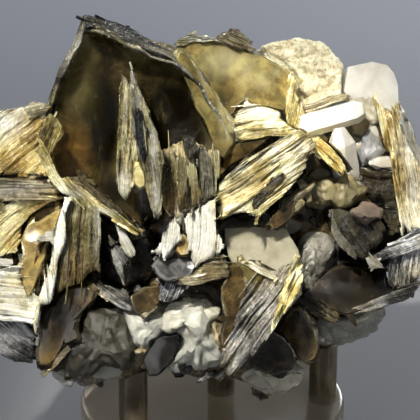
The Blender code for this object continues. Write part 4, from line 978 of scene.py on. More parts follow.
# The other books in front, from the left to the right, and small ones that stand for no solid of their own.
DRAWN = {
    "muscovite_sheaf_left_top": Seen(
        "golden", "-18,114 0,111 12,108 25,106 32,104 42,104 50,108 51,112 45,118 42,126 39,133 40,141 "
        "38,149 41,158 46,167 45,173 30,175 10,176 -18,177", -10, 9, edge=(42, 0), lobes=0.15, tone=1.25,
    ),
    "left_top_rim": Seen(
        "ash", "24,108 32,104 42,104 50,108 51,112 44,117 34,117 28,113", edge=(12, 0), tone=1.6,
    ),
    "muscovite_sheaf_left_upper": Seen(
        "brown", "-18,178 0,178 12,180 30,178 40,175 50,182 60,192 67,198 58,201 40,199 20,201 -18,200",
        -12, 4, edge=(-2, 0), lobes=0.5, tone=0.8,
    ),
    "muscovite_sheaf_left_slope": Seen(
        "golden", "-18,204 0,203 20,200 44,199 54,199 44,206 34,213 28,220 23,227 21,240 14,250 2,256 "
        "-18,258", -11, 5, edge=(42, 0), bend=-0.01, tone=1.4,
    ),
    "muscovite_plate_left_scoop": Seen(
        "golden", "21,237 25,226 31,220 38,221 46,216 57,208 62,206 60,216 56,228 46,231 37,234 35,244 "
        "32,262 30,280 33,296 28,300 23,290 19,270 23,258", -13, -7, face=(-10, 10), tone=0.65,
    ),
    "muscovite_book_left_inner": Seen(
        "brown", "30,214 44,205 66,199 64,215 56,232 53,250 51,280 50,294 42,299 32,296 30,280 32,250 "
        "26,225", -8, 0, face=(8, 0), tone=0.75,
    ),
    "inner_torn": Seen(
        "torn_brown", "36,244 48,240 50,262 50,282 49,295 40,299 32,295 33,280 34,262", face=(8, 0),
        tone=0.65,
    ),
    "muscovite_blade_left_rim": Seen(
        "white", "66,196 71,199 68,208 64,220 66,229 66,238 63,247 59,258 56,270 55,286 55,299 49,305 "
        "42,307 39,316 36,333 34,322 38,308 46,299 49,290 50,270 52,255 53,243 56,230 60,214", -19, -9,
        edge=(100, 0), tone=1.3,
    ),
    "branch_left": Seen(
        "white", "56,228 52,233 44,235 36,238 33,242 40,242 54,242", -18, -12, edge=(8, 0), tone=0.8,
    ),
    "shoulder_rim": Seen(
        "cream", "36,132 39,131 40,141 41,151 45,160 50,168 56,178 62,188 70,196 66,198 58,192 50,182 "
        "44,170 38,158 35,148 38,140", -20, -15, edge=(-58, 0), grow=0.1, tone=1,
    ),
    "muscovite_flake_shoulder": Seen(
        "olive", "44,120 50,113 57,118 62,128 64,134 58,144 53,152 50,160 44,152 41,138", -19, -12,
        edge=(72, 25), tone=0.85,
    ),
    "muscovite_blade_under_main": Seen(
        "olive", "56,179 68,177 74,185 86,198 100,206 113,213 126,222 142,231 138,235 122,226 108,216 "
        "94,209 80,203 70,198 60,190", -17, -4, edge=(-38, 10), tone=1.05,
    ),
    "main_low_lines": Seen(
        "brown", "68,177 84,174 92,188 112,204 132,219 143,230 128,221 112,211 98,204 86,197 76,186", -15,
        -3, edge=(-38, 30), tone=0.25,
    ),
    "muscovite_book_left_upright": Seen(
        "olive", "68,199 80,201 90,202 99,208 100,240 99,270 88,273 80,283 66,288 55,296 55,280 59,262 "
        "65,246 67,232 64,222 67,210", -17, 0, edge=(86, 0), tone=0.4,
    ),
    "muscovite_book_left_foot": Seen(
        "brown", "57,292 70,283 80,281 92,282 101,290 96,300 86,306 80,318 80,330 85,341 72,348 62,352 "
        "58,362 50,371 38,370 33,362 35,345 36,330 39,317 45,306 53,300", -14, -5, face=(-10, 6), tone=0.35,
    ),
    "muscovite_sheaf_left_low": Seen(
        "white", "-18,270 0,272 10,268 21,264 24,285 34,295 46,298 41,306 38,318 35,327 30,322 18,320 "
        "8,315 -18,318", -14, 4, edge=(-6, 0), tone=1.6,
    ),
    "muscovite_sheaf_left_bottom": Seen(
        "steel", "-18,322 0,317 8,314 10,321 22,322 35,329 35,345 33,363 28,363 15,362 4,356 -18,352", -9,
        6, edge=(-32, 0), tone=0.65,
    ),
    "muscovite_blade_recess": Seen(
        "white", "113,215 120,218 123,231 129,243 135,251 138,254 132,260 127,256 121,248 125,244 119,232 "
        "115,224", -16, -11, edge=(-62, 0), grow=0.1, tone=0.65,
    ),
    "recess_speck": Seen(
        "white", "108,234 112,238 117,243 113,245 109,240", -14, -12, edge=(-50, 0), grow=0.1, tone=0.15,
    ),
    "muscovite_flake_recess": Seen(
        "steel", "109,249 116,246 122,247 130,256 129,262 123,268 127,285 124,287 118,273 112,263", -14, -9,
        edge=(-60, 20), tone=0.45,
    ),
    "muscovite_sheaf_recess_low": Seen(
        "steel", "96,284 108,285 124,291 134,303 130,312 120,308 108,299", -15, -6, edge=(-35, 0), tone=0.5,
    ),
    "muscovite_fin_left": Seen(
        "torn_olive", "122,73 127,78 130,90 131,105 134,125 138,150 138,162 134,178 130,192 125,202 "
        "118,192 116,182 119,165 120,140 120,110 119,85", -25, -12, edge=(88, 0), tone=0.75,
    ),
    "muscovite_fin_right": Seen(
        "torn_olive", "131,62 134,72 138,82 143,95 150,113 157,132 161,148 163,163 163,180 161,205 158,222 "
        "152,208 147,195 143,178 140,165 144,160 147,148 146,130 141,112 135,105 130,95 129,84 132,78", -26,
        -12, edge=(98, 0), tone=0.45,
    ),
    "fin_line": Seen(
        "white", "131,80 133,84 134,100 137,125 140,150 141,163 139,163 135,140 132,118 130,96", -26.5, -23,
        edge=(98, 0), grow=0.0, tone=0.15,
    ),
    # A near-black sheet in the gap between the fins: painted shade.
    "fin_gap": Seen(
        "torn_black", "134,106 141,110 146,130 147,148 144,161 140,163 136,140 133,120", -26.8, -20,
        edge=(96, 0), spacing=0.6, points=(30, 60), tone=0.06,
    ),
    "fin_wedge": Seen(
        "cream", "134,168 139,163 143,172 145,186 140,190 134,184", -26.6, -18, face=(0, 0), tone=1.1,
    ),
    "muscovite_sheaf_centre": Seen(
        "umber", "160,150 172,146 183,140 198,142 211,150 217,150 218,196 205,204 178,219 168,216 160,205",
        -17, -3, edge=(88, 0), tone=1.4,
    ),
    "tongue_left": Seen(
        "olive", "174,154 178,151 183,155 186,168 188,190 188,208 180,214 178,195 177,175", -20, -14,
        edge=(86, 0), tone=0.2,
    ),
    "tongue_high": Seen(
        "ash", "183,136 188,134 194,139 196,147 194,155 190,158 185,152 183,144", -22, -16, edge=(86, 0),
        tone=0.15,
    ),
    "tongue_middle": Seen(
        "olive", "187,158 195,154 198,170 199,190 198,206 190,208 189,190", -20.5, -14, edge=(88, 0),
        tone=0.35,
    ),
    "tongue_right": Seen(
        "ash", "198,148 203,145 208,152 212,172 214,196 206,202 201,200 200,180 198,162", -21, -14,
        edge=(94, 0), tone=0.4,
    ),
    "tongue_rim": Seen(
        "cream", "212,150 217,149 218,175 218,198 215,199 213,175", -20, -13, edge=(92, 0), grow=0.1,
        tone=0.45,
    ),
    "muscovite_sheaf_centre_low": Seen(
        "white", "177,220 190,212 205,205 218,196 217,208 213,216 212,226 215,232 220,236 221,246 218,256 "
        "209,259 201,263 197,269 192,262 190,245 184,232", -22.5, -6, edge=(84, 0), tone=0.8,
    ),
    "muscovite_tongue_centre_low": Seen(
        "white", "169,222 176,215 179,228 179,240 173,248 168,257 164,261 163,253 158,257 154,252 160,245 "
        "161,234", -21.6, -10, edge=(88, 0), tone=0.75,
    ),
    "golden_wedge": Seen(
        "golden", "179,226 186,234 191,246 190,257 180,258 175,251 178,240", -20, -8, face=(0, 10),
        tone=0.5,
    ),
    "muscovite_plate_glassy": Seen(
        "steel", "150,266 156,256 161,250 168,257 182,257 194,259 197,268 192,277 178,281 165,283 155,277",
        -19, -13, face=(0, 20), tone=0.4,
    ),
    "muscovite_sheaf_ledge": Seen(
        "brown", "197,268 205,260 222,256 229,262 231,272 229,279 215,281 200,285 184,285 176,279 190,275",
        -22, -6, edge=(4, 0), tone=0.55,
    ),
    "under_glassy": Seen(
        "steel", "160,282 172,281 187,287 180,297 170,303 158,300", -17, -10, edge=(70, 0), tone=1.2,
    ),
    "muscovite_book_lower_fan": Seen(
        "torn_silver", "246,284 252,292 258,302 268,300 276,292 284,276 292,268 297,258 301,262 303,280 "
        "300,292 294,302 286,311 278,321 269,335 262,345 254,355 245,360 240,368 232,378 226,374 220,365 "
        "221,357 227,344 237,325 246,311 250,300", -26, -8, edge=(54, 0), tone=0.9,
    ),
    "fan_shoulder": Seen(
        "olive", "240,262 246,260 254,262 264,267 273,273 279,281 276,292 268,300 258,302 251,292 246,284 "
        "243,272", -25, -14, face=(20, -10), tone=0.35,
    ),
    "fan_rim": Seen(
        "cream", "295,256 299,254 302,266 304,281 300,293 292,305 282,317 272,332 267,336 272,324 284,308 "
        "293,296 297,282 296,268", -28, -20, edge=(66, 0), tone=1.6,
    ),
    "fan_top_rim": Seen(
        "white", "238,261 246,259 256,262 266,267 275,274 280,281 276,282 266,273 254,266 244,264", -27,
        -22, edge=(-25, 0), grow=0.1, tone=0.95,
    ),
    "muscovite_book_lower_brown": Seen(
        "brown", "228,263 242,262 246,283 245,300 238,320 229,342 222,354 220,340 225,320 221,300 220,286 "
        "226,276", -20, -10, face=(20, -4), tone=0.5,
    ),
    "muscovite_plate_dark_left": Seen(
        "black", "262,342 272,328 285,335 295,350 297,362 291,373 278,377 265,375 252,367 249,358", -15,
        -9.5, face=(12, -20), tone=1.4,
    ),
    "muscovite_plate_dark_right": Seen(
        "umber", "276,330 284,314 292,304 301,302 310,312 318,332 321,350 318,361 308,367 298,362 292,350 "
        "284,341", -13, -5, face=(-18, -8), tone=1.15,
    ),
    "leaf_right": Seen(
        "umber", "293,298 305,297 320,302 335,311 342,322 334,324 318,319 303,309", -14, -8, edge=(-30, 10),
        tone=0.6,
    ),
    "main_rim": Seen(
        "olive", "180,48 190,55 196,65 203,76 212,90 220,100 227,112 232,125 238,136 236,145 230,152 "
        "225,160 218,158 214,150 212,141 214,130 213,117 208,102 200,89 191,73 181,59 173,52", face=(0, 0),
        tone=0.55,
    ),
    "main_top": Seen(
        "torn_black", "84,20 88,14 98,16 110,22 128,28 142,35 154,42 168,49 180,56 176,60 160,55 146,50 "
        "130,44 112,36 96,29 86,27", edge=(-24, 0), rough=0.8, chips=20, tone=0.2,
    ),
    "muscovite_book_upper_right": Seen(
        "olive", "178,46 190,40 214,38 228,42 245,45 252,52 262,55 275,62 284,67 291,73 294,80 294,100 "
        "292,113 284,112 270,108 252,106 245,100 235,110 231,120 222,108 210,88 200,72 190,56", -3, 5,
        face=(0, 4), rings=16, tone=0.75,
    ),
    "upper_rim": Seen(
        "umber", "213,39 222,33 230,29 238,30 249,40 257,51 250,55 240,45 228,41 217,41", -3.6, 5,
        edge=(-24, 0), tone=0.6,
    ),
    "upper_rim_pale": Seen(
        "cream", "172,45 180,39 190,33 214,37 212,41 196,41 186,46 178,49", -4, 4, edge=(4, 20), grow=0.1,
        tone=0.6,
    ),
    "upper_side": Seen(
        "cream", "290,74 295,78 296,100 298,122 308,132 316,138 311,140 300,131 288,124 284,113 292,112",
        -5, 2, edge=(80, 0), tone=1.6,
    ),
    "crest_base": Seen(
        "brown", "300,106 318,102 330,95 345,92 352,95 340,101 325,106 308,114 300,113", -4, 6,
        edge=(18, 0), tone=1.25,
    ),
    "muscovite_sheaf_saddle": Seen(
        "cream", "231,120 236,112 242,109 242,103 247,100 253,104 263,107 276,108 281,112 281,118 286,123 "
        "296,129 306,133 296,135 284,134 270,136 255,138 241,141 236,136 232,128", -13, 2, edge=(8, 0),
        bend=-0.012, lobes=0.6, tone=1.6,
    ),
    "muscovite_sheaf_diagonal": Seen(
        "cream", "218,184 232,170 250,158 266,148 290,132 302,130 312,137 318,144 308,152 306,166 299,179 "
        "286,194 273,204 262,214 256,223 252,211 242,213 230,215 219,222 216,206", -21, -2, edge=(34, 0),
        lobes=0.6, tone=0.9,
    ),
    "diagonal_notch": Seen(
        "umber", "284,172 272,180 262,190 252,203 255,209 266,198 278,187 286,178", edge=(38, 0), tone=0.25,
    ),
    "diagonal_edge": Seen(
        "umber", "228,176 240,165 262,151 284,138 280,142 262,155 244,168 232,178", edge=(33, 0), grow=0.1,
        tone=0.35,
    ),
    "muscovite_blade_roof": Seen(
        "golden", "312,140 320,137 332,149 342,162 347,172 341,177 330,168 318,156 311,147", -17, -3,
        edge=(-48, 0), tone=1.6,
    ),
    "roof_hollow": Seen(
        "umber", "300,160 312,150 322,158 336,175 318,178 302,190 294,184 304,172", -6, 3, face=(0, 0),
        tone=1.6,
    ),
    "muscovite_book_right_edge": Seen(
        "torn_golden", "386,108 392,112 398,100 403,112 410,130 418,150 428,170 452,200 452,235 402,233 "
        "400,205 400,176 394,166 392,150 386,132", -12, 10, edge=(100, 0), tone=1.35,
    ),
    "right_edge_rim": Seen(
        "white", "398,102 403,110 412,130 420,150 430,172 424,180 416,160 408,140 400,122", -14, 4,
        edge=(108, 0), tone=0.55,
    ),
    "quartz_seam": Seen(
        "golden", "374,98 382,106 390,118 394,140 392,154 386,150 381,132 377,112", -6, 4, edge=(100, 0),
        tone=1.1,
    ),
    "muscovite_book_right_inner": Seen(
        "brown", "352,166 370,166 388,169 398,175 402,190 403,215 403,232 390,233 384,218 374,206 362,198 "
        "357,185", -5, 4, edge=(-5, -10), tone=0.2,
    ),
    "muscovite_book_right_fan": Seen(
        "umber", "328,209 340,209 352,212 358,222 370,222 380,218 388,228 384,240 376,246 370,254 368,262 "
        "360,259 352,254 345,250 337,243 333,230 330,218", -15, 0, edge=(-52, -10), bend=0.014, tone=0.17,
    ),
    "right_fan_rim": Seen(
        "white", "329,212 333,226 340,240 350,251 360,258 358,262 348,255 338,244 331,230", -17, -12,
        edge=(-52, 0), grow=0.0, tone=0.2,
    ),
    "right_fan_tip": Seen(
        "white", "365,257 372,255 381,264 385,270 379,269 372,270 368,265", -18, -12, edge=(-40, 0),
        grow=0.1, tone=0.55,
    ),
    "muscovite_sheaf_right_low": Seen(
        "steel", "368,265 374,256 380,250 392,243 404,239 416,231 436,226 438,246 412,249 396,252 384,256 "
        "376,263", -15, -2, edge=(22, 0), tone=0.9,
    ),
    "muscovite_plate_right_low": Seen(
        "steel", "388,255 396,250 410,247 434,244 434,262 422,276 408,284 397,289 389,286", -13, -6,
        edge=(84, 0), tone=0.95,
    ),
    "muscovite_book_lower_right": Seen(
        "umber", "298,296 312,282 326,270 344,262 372,264 386,264 392,288 412,290 404,299 376,307 346,316 "
        "332,312 316,305", -12, -2, face=(4, 20), tone=0.22,
    ),
    "lower_right_rim": Seen(
        "steel", "343,314 358,311 376,306 396,298 412,288 420,278 424,284 412,297 396,303 376,310 350,317",
        -14, -8, edge=(16, 0), grow=0.1, tone=0.4,
    ),
    "fill_left_high": Seen(
        "umber", "-16,165 20,172 56,176 70,196 62,212 30,208 -16,212", 2, 9, edge=(20, 20), **ROUGH,
        tone=0.45,
    ),
    "fill_left_mid": Seen(
        "umber", "-14,205 40,205 70,200 66,250 58,310 30,326 -12,318", 1, 8, edge=(60, 10), **ROUGH,
        tone=1.6,
    ),
    "fill_left_low": Seen(
        "black", "-10,318 30,314 60,300 80,330 60,360 34,362 20,356", 0, 7, edge=(-20, 10), **ROUGH,
        tone=0.7,
    ),
    "fill_right_mid": Seen(
        "black", "318,212 345,220 400,212 416,236 404,262 380,276 346,278 322,268", 3, 10, face=(10, 0),
        tone=0.06,
    ),
    "fill_hollow": Seen(
        "umber", "216,150 232,128 290,130 330,150 340,176 300,182 270,170 232,186", 2, 9, face=(-10, 0),
        tone=1.6,
    ),
}


class Ground:
    """What has been built so far, to lay thin pieces on."""

    def __init__(self):
        self.trees = []

    def add(self, points, faces):
        self.trees.append(BVHTree.FromPolygons(points.tolist(), faces.tolist()))

    def behind(self, x, y):
        """How far behind the middle plane the first surface at a pixel is, or None."""
        ray = (photo_point(x, y) - EYE).normalized()
        hits = [tree.ray_cast(EYE, ray)[0] for tree in self.trees]
        return min(((MIDDLE - hit).dot(VIEW) for hit in hits if hit is not None), default=None)

    def plane(self, flat, near=6.0):
        """The depth at each corner of the plane that fits what lies behind an outline best."""
        middle = flat.mean(0)
        rows = []
        for share in (0.85, 0.5, 0.15):
            for corner in flat:
                spot = middle + (corner - middle) * share
                depth = self.behind(*spot)
                if depth is not None:
                    rows.append((*spot, depth))
        rows = np.array(rows)
        rows = rows[np.abs(rows[:, 2] - np.median(rows[:, 2])) < near]
        terms = np.column_stack([rows[:, :2], np.ones(len(rows))])
        best = np.linalg.lstsq(terms, rows[:, 2], rcond=None)[0]
        return np.column_stack([flat, np.ones(len(flat))]) @ best


def seen_form(seen, ground, narrow=0.8):
    """The solid between a drawn book's front and its back, which is narrow times as wide."""
    flat = seen.flat
    count = len(flat)
    shows_face = seen.settings.get("rings")
    if seen.front is None:
        plane = ground.plane(flat)
        front, back, narrow = plane - 0.5, plane + 0.9, 1.0
        if shows_face:
            one, two, three = (photo_point(*flat[k], front[k]) for k in (0, count // 3, 2 * count // 3))
            seen.axes = own_axes((two - one).cross(three - one).normalized())
    else:
        front, back = np.full(count, seen.front), np.full(count, seen.back)
    middle = flat.mean(0)
    points = [photo_point(*(middle + (flat[k] - middle) * narrow), back[k]) for k in range(count)]
    points += [photo_point(*flat[k], front[k]) for k in range(count)]
    if seen.front is not None and shows_face:
        z = seen.axes[2]
        for start in (0, count):
            centre = sum(points[start:start + count], Vector()) / count
            for k in range(start, start + count):
                points[k] = points[k] - VIEW * ((points[k] - centre).dot(z) / VIEW.dot(z))
    return closed(points)


def mica():
    """Every mica book, in place of its solid or on its own."""
    ground = Ground()
    books = []
    names = sorted(node for node in frame["nodes"] if node.startswith("muscovite") and node != CREST)
    laid = [name for name in DRAWN if name not in names]
    laid.sort(key=lambda name: DRAWN[name].front is None)
    for name in names + laid:
        seen = DRAWN.get(name)
        if seen:
            book = Cleaved(name, seen_form(seen, ground), seen.axes, **seen.settings)
            book.look, book.tone = seen.look, seen.tone
        else:
            look, tone, settings = BOOKS.get(name, (SLOT_OF[name].replace("muscovite_", ""), 1.0, {}))
            book = Cleaved(name, **settings)
            book.look, book.tone = {"dark": "umber", "silver": "cream"}.get(look, look), tone
        book.slot = SLOT_OF.get(name, SLOT_OF_LOOK[book.look])
        sheets = painted(book.sheets(), name, book.tone)
        ground.add(sheets["points"], sheets["quads"])
        piece = add(name.replace("muscovite", "sheets"), mesh_of(name, [sheets]), *LOOKS[book.look])
        carried(piece, name if name in names else None)
        books.append(book)
    return books


def joined(kind, stacks):
    """Small pieces as one joined mesh for each look and slot."""
    for (look, slot), several in sorted(stacks.items()):
        name = kind + look + slot.replace("muscovite", "")
        carried(add(name, mesh_of(name, several), *LOOKS[look]))


def turned_axes(axes, chance, sway):
    """Axes tipped at random by up to sway radians and spun round z."""
    push = Vector([chance.uniform(-sway, sway) for _ in range(3)])
    z = (Vector(axes[2]) + push).normalized()
    x = Vector(axes[0])
    spin = chance.uniform(0, 2 * math.pi)
    x = (x - z * x.dot(z)).normalized()
    x = x * math.cos(spin) + z.cross(x) * math.sin(spin)
    return x, z.cross(x), z


def flake(name, centre, axes, wide, tall, thick, chance):
    """A small book of a few sheets, with an uneven six-sided outline."""
    outline = []
    for corner in range(6):
        angle = (corner + chance.uniform(-0.2, 0.2)) * math.pi / 3
        far = chance.uniform(0.75, 1.1)
        outline.append((wide * far * math.cos(angle) / 2, tall * far * math.sin(angle) / 2))
    flat = np.array(outline)
    sizes = ((chance.uniform(0.8, 1.05), -thick / 2), (1.0, thick / 2))
    local = np.vstack([np.column_stack([flat * size, np.full(6, level)]) for size, level in sizes])
    return Cleaved(name, closed(local @ np.array(axes) + np.array(centre)), axes, **SMALL).sheets()


def flakes(books, spots):
    """Small flakes in the gaps between the books: half sunk in the matrix, lying as their neighbours do."""
    chance = np.random.default_rng(FLAKE_SEED)
    samples = [book.form.points[:: max(1, len(book.form.points) // 40)] for book in books]
    places = np.vstack(samples)
    owner = np.concatenate([np.full(len(sample), k) for k, sample in enumerate(samples)])
    stacks = {}
    for turn, (spot, normal, crust) in enumerate(spots):
        size = chance.uniform(3.0, 8.5)
        if crust < 0.5:
            continue
        book = books[owner[np.argmin(((places - spot) ** 2).sum(1))]]
        axes = turned_axes(book.axes, chance, 0.35)
        centre = np.array(spot) + np.array(normal) * size * chance.uniform(-0.05, 0.18)
        tall = size * chance.uniform(0.6, 1.0)
        stack = flake("flake%d" % turn, centre, axes, size, tall, size * chance.uniform(0.15, 0.4), chance)
        stacks.setdefault((book.look, book.slot), []).append(painted(stack, None, book.tone))
    joined("flakes_", stacks)


def unit(arrow):
    """An arrow made 1 long."""
    return arrow / max(np.linalg.norm(arrow), 1e-9)


def strip(columns, kind_top, shade, level, rim=0.6):
    """A closed strip through columns of four points: outer top, outer bottom, inner bottom, inner top."""
    points = np.array(columns)
    last = len(points) - 4
    quads, kinds = [(0, 1, 2, 3)], [EDGE]
    for here in range(0, last, 4):
        for side in range(4):
            beside = (side + 1) % 4
            quads.append((here + side, here + 4 + side, here + 4 + beside, here + beside))
            kinds.append(kind_top if side in (1, 3) else EDGE)
    quads.append((last + 3, last + 2, last + 1, last))
    kinds.append(EDGE)
    return {
        "points": points, "quads": outward(points, np.array(quads)), "kind": np.array(kinds),
        "smooth": np.zeros(len(quads), bool), "level": level, "shade": np.full(len(points), shade),
        "rim": np.full(len(points), rim),
    }


def splinter(book, spot, out, chance):
    """A thin blade along the torn edge of a book, sunk in it and standing a little proud."""
    z = unit(book.axes[2] + chance.uniform(-0.09, 0.09, 3))
    out = unit(out - z * (out @ z))
    along = np.cross(z, out)
    turn = chance.normal(0, 0.12)
    cos, sin = math.cos(turn), math.sin(turn)
    along, out = along * cos + out * sin, out * cos - along * sin
    length = chance.uniform(1.2, 0.45 * book.narrow + 1.6)
    thick = chance.uniform(0.08, 0.34)
    proud = book.grow * 0.6 + chance.uniform(-0.3, 0.4)
    columns, heights = [], []
    count = int(chance.integers(4, 7))
    for k, place in enumerate(np.linspace(-0.5, 0.5, count) * length):
        at_end = k in (0, count - 1)
        edge = proud * (0.25 if at_end else chance.uniform(0.55, 1.1))
        thin = thick * (0.3 if at_end else 1.0) / 2
        base = spot + along * (place + chance.uniform(-0.2, 0.2))
        for far, high in ((edge, thin), (edge, -thin), (-1.0, -thin), (-1.0, thin)):
            columns.append(base + out * far + z * high)
            heights.append(high)
    level = np.array(heights) + chance.uniform(-9, 9)
    return strip(columns, FACE if chance.random() < 0.3 else EDGE, chance.random(), level)


def leaf(book, spot, out, chance):
    """A partial sheet lying on a book's face."""
    z = unit(out + chance.uniform(-0.03, 0.03, 3))
    heading = (chance.integers(0, 3) + chance.normal(0, 0.08)) * math.pi / 3
    along = unit(book.axes[0] * math.cos(heading) + book.axes[1] * math.sin(heading))
    along = unit(along - z * (along @ z))
    across = np.cross(z, along)
    length = chance.uniform(0.12, 0.5) * book.narrow
    wide = length * chance.uniform(0.2, 0.6)
    high = chance.uniform(0.06, 0.22)
    columns = []
    for place in (-0.5, -0.25, 0.0, 0.25, 0.5):
        half = wide * (0.2 if abs(place) == 0.5 else chance.uniform(0.75, 1.0)) / 2
        base = spot + along * place * length
        for side, top in ((half, high), (half, -0.4), (-half, -0.4), (-half, high)):
            columns.append(base + across * side + z * top)
    level = np.full(len(columns), chance.uniform(-9, 9))
    return strip(columns, FACE, chance.random(), level, 5.6)


def splinters(books):
    """Splinters along the edges of the books and partial sheets on their faces."""
    chance = np.random.default_rng(SPLINTER_SEED)
    stacks = {}
    for book in books:
        if book.node == MAIN:
            continue
        spots, ways = book.scattered(chance, SHARD_AREA)
        for spot, out in zip(spots, ways):
            if abs(out @ np.array(book.axes[2])) < 0.75:
                shard = splinter(book, spot, out, chance)
            elif chance.random() < 0.25:
                shard = leaf(book, spot, out, chance)
            else:
                continue
            stacks.setdefault((book.look, book.slot), []).append(painted(shard, book.node, book.tone))
    joined("splinters_", stacks)


def remeshed(name, node, material, voxel, sizes):
    """A CAD node's surface in small even faces, roughened: its piece, and its points in millimetres."""
    coarse = frame["nodes"][node].data.copy()
    coarse.materials.clear()
    piece = add(name, coarse)
    step = piece.modifiers.new("voxels", "REMESH")
    step.mode = "VOXEL"
    step.voxel_size = voxel / MM
    step.use_smooth_shade = True
    bpy.context.view_layer.update()
    mesh = bpy.data.meshes.new_from_object(piece.evaluated_get(bpy.context.evaluated_depsgraph_get()))
    piece.modifiers.clear()
    piece.data = mesh
    bpy.data.meshes.remove(coarse)
    roughen(mesh, sizes)
    mesh.materials.append(material)
    return piece, np.array([v.co * MM for v in mesh.vertices])


def roughen(mesh, sizes):
    """Moves a mesh's points along their normals by blocky and fine noise, from spans and depths."""
    moved = []
    for vertex in mesh.vertices:
        place = vertex.co * MM
        push = 0.0
        for span, depth, blocky in sizes:
            if blocky:
                push += depth * (0.6 - noise.voronoi(place / span)[0][0])
            else:
                push += depth * noise.fractal(place / span, 0.9, 2.1, 3)
        moved.append(vertex.co + vertex.normal * (push / MM))
    for vertex, place in zip(mesh.vertices, moved):
        vertex.co = place


# Where the front shows bare quartz: x, y and half sizes in pixels. Elsewhere it is dark: mica crust, and
# painted shade in the gaps between the books.
BARE = (
    (104, 345, 30, 36), (128, 330, 24, 26), (200, 325, 50, 38), (165, 320, 30, 26), (275, 378, 32, 16),
    (372, 325, 50, 22), (335, 325, 26, 26), (318, 268, 22, 34), (330, 190, 30, 22), (362, 145, 22, 26),
    (262, 225, 36, 12), (236, 310, 16, 26),
)


def crust_and_shade_at(points, normals):
    """How far each point of the matrix is dark: 0 is bare quartz, 1 is mica crust and painted shade."""
    across, down = photo_place(points)
    wobble = np.array([noise.noise(Vector(p) / 5.0) for p in points])
    bare = np.zeros(len(points))
    for patch in BARE:
        bare = np.maximum(bare, np.clip(2.2 - 1.6 * photo_patch(across, down, patch) + wobble * 1.2, 0, 1))
    seen = normals @ np.array(VIEW) > -0.15
    low = np.clip((MIDDLE.z - 12 - points[:, 2]) / 8 + wobble * 1.5, 0, 1)
    elsewhere = np.clip(0.4 + wobble * 2.2, 0, 1)
    return 1 - np.where(seen, bare, np.maximum(low, elsewhere))


def matrix():
    """The massive quartz. It gives points on it, the way out at each, and how far it is darkened there by
    crust and painted shade.
    """
    sizes = (5.5, 0.9, True), (2.2, 0.35, True), (7.0, 0.4, False)
    piece, points = remeshed("massive_quartz", "quartz_matrix", massive_quartz(), 0.75, sizes)
    normals = np.array([v.normal for v in piece.data.vertices])
    crust = crust_and_shade_at(points, normals)
    put(piece.data, "crust", crust)
    carried(piece, "quartz_matrix")
    chosen = np.random.default_rng(SPOT_SEED).choice(len(points), FLAKE_SPOTS, replace=False)
    return [(points[k], normals[k], crust[k]) for k in chosen]


# The colours of the quartz knobs: light, shade and how rough they are.
TINTS = {
    # The smoky tint is smoky quartz made darker by painted shade.
    "smoky": ((0.048, 0.043, 0.026), (0.016, 0.014, 0.008), 0.45),
    "white": ((0.6, 0.6, 0.53), (0.27, 0.27, 0.235), 0.3),
    "milky": ((0.62, 0.61, 0.52), (0.38, 0.37, 0.3), 0.35),
    "tan": ((0.36, 0.3, 0.18), (0.2, 0.16, 0.09), 0.35),
    "yellow": ((0.32, 0.28, 0.155), (0.18, 0.15, 0.075), 0.3),
    "dim": ((0.24, 0.23, 0.14), (0.13, 0.125, 0.07), 0.25),
    "mist": ((0.45, 0.44, 0.38), (0.25, 0.245, 0.2), 0.25),
    "veil": ((0.23, 0.22, 0.185), (0.1, 0.095, 0.075), 0.25),
    "pink": ((0.26, 0.2, 0.16), (0.14, 0.11, 0.085), 0.3),
    "grey": ((0.5, 0.5, 0.52), (0.26, 0.26, 0.27), 0.35),
    "cream": ((0.68, 0.64, 0.52), (0.5, 0.46, 0.34), 0.35),
}
# A knob's surface: the span and depth of its noise and whether it is blocky, the angle from which its edges
# are sharp, and how often it is softened.
CRISP = ((3.4, 1.0, True), (1.5, 0.4, True), (0.7, 0.1, False)), 24, 0
WORN = ((3.6, 0.9, False), (1.4, 0.25, False)), 70, 10
# A knob's rings, from its foot up: the share of its outline, the share of its rise, and how uneven it is.
KNOB_RINGS = (0.86, -4.0, 0.0), (1.0, 0.0, 0.1), (0.84, 0.62, 0.22), (0.42, 1.0, 0.12)
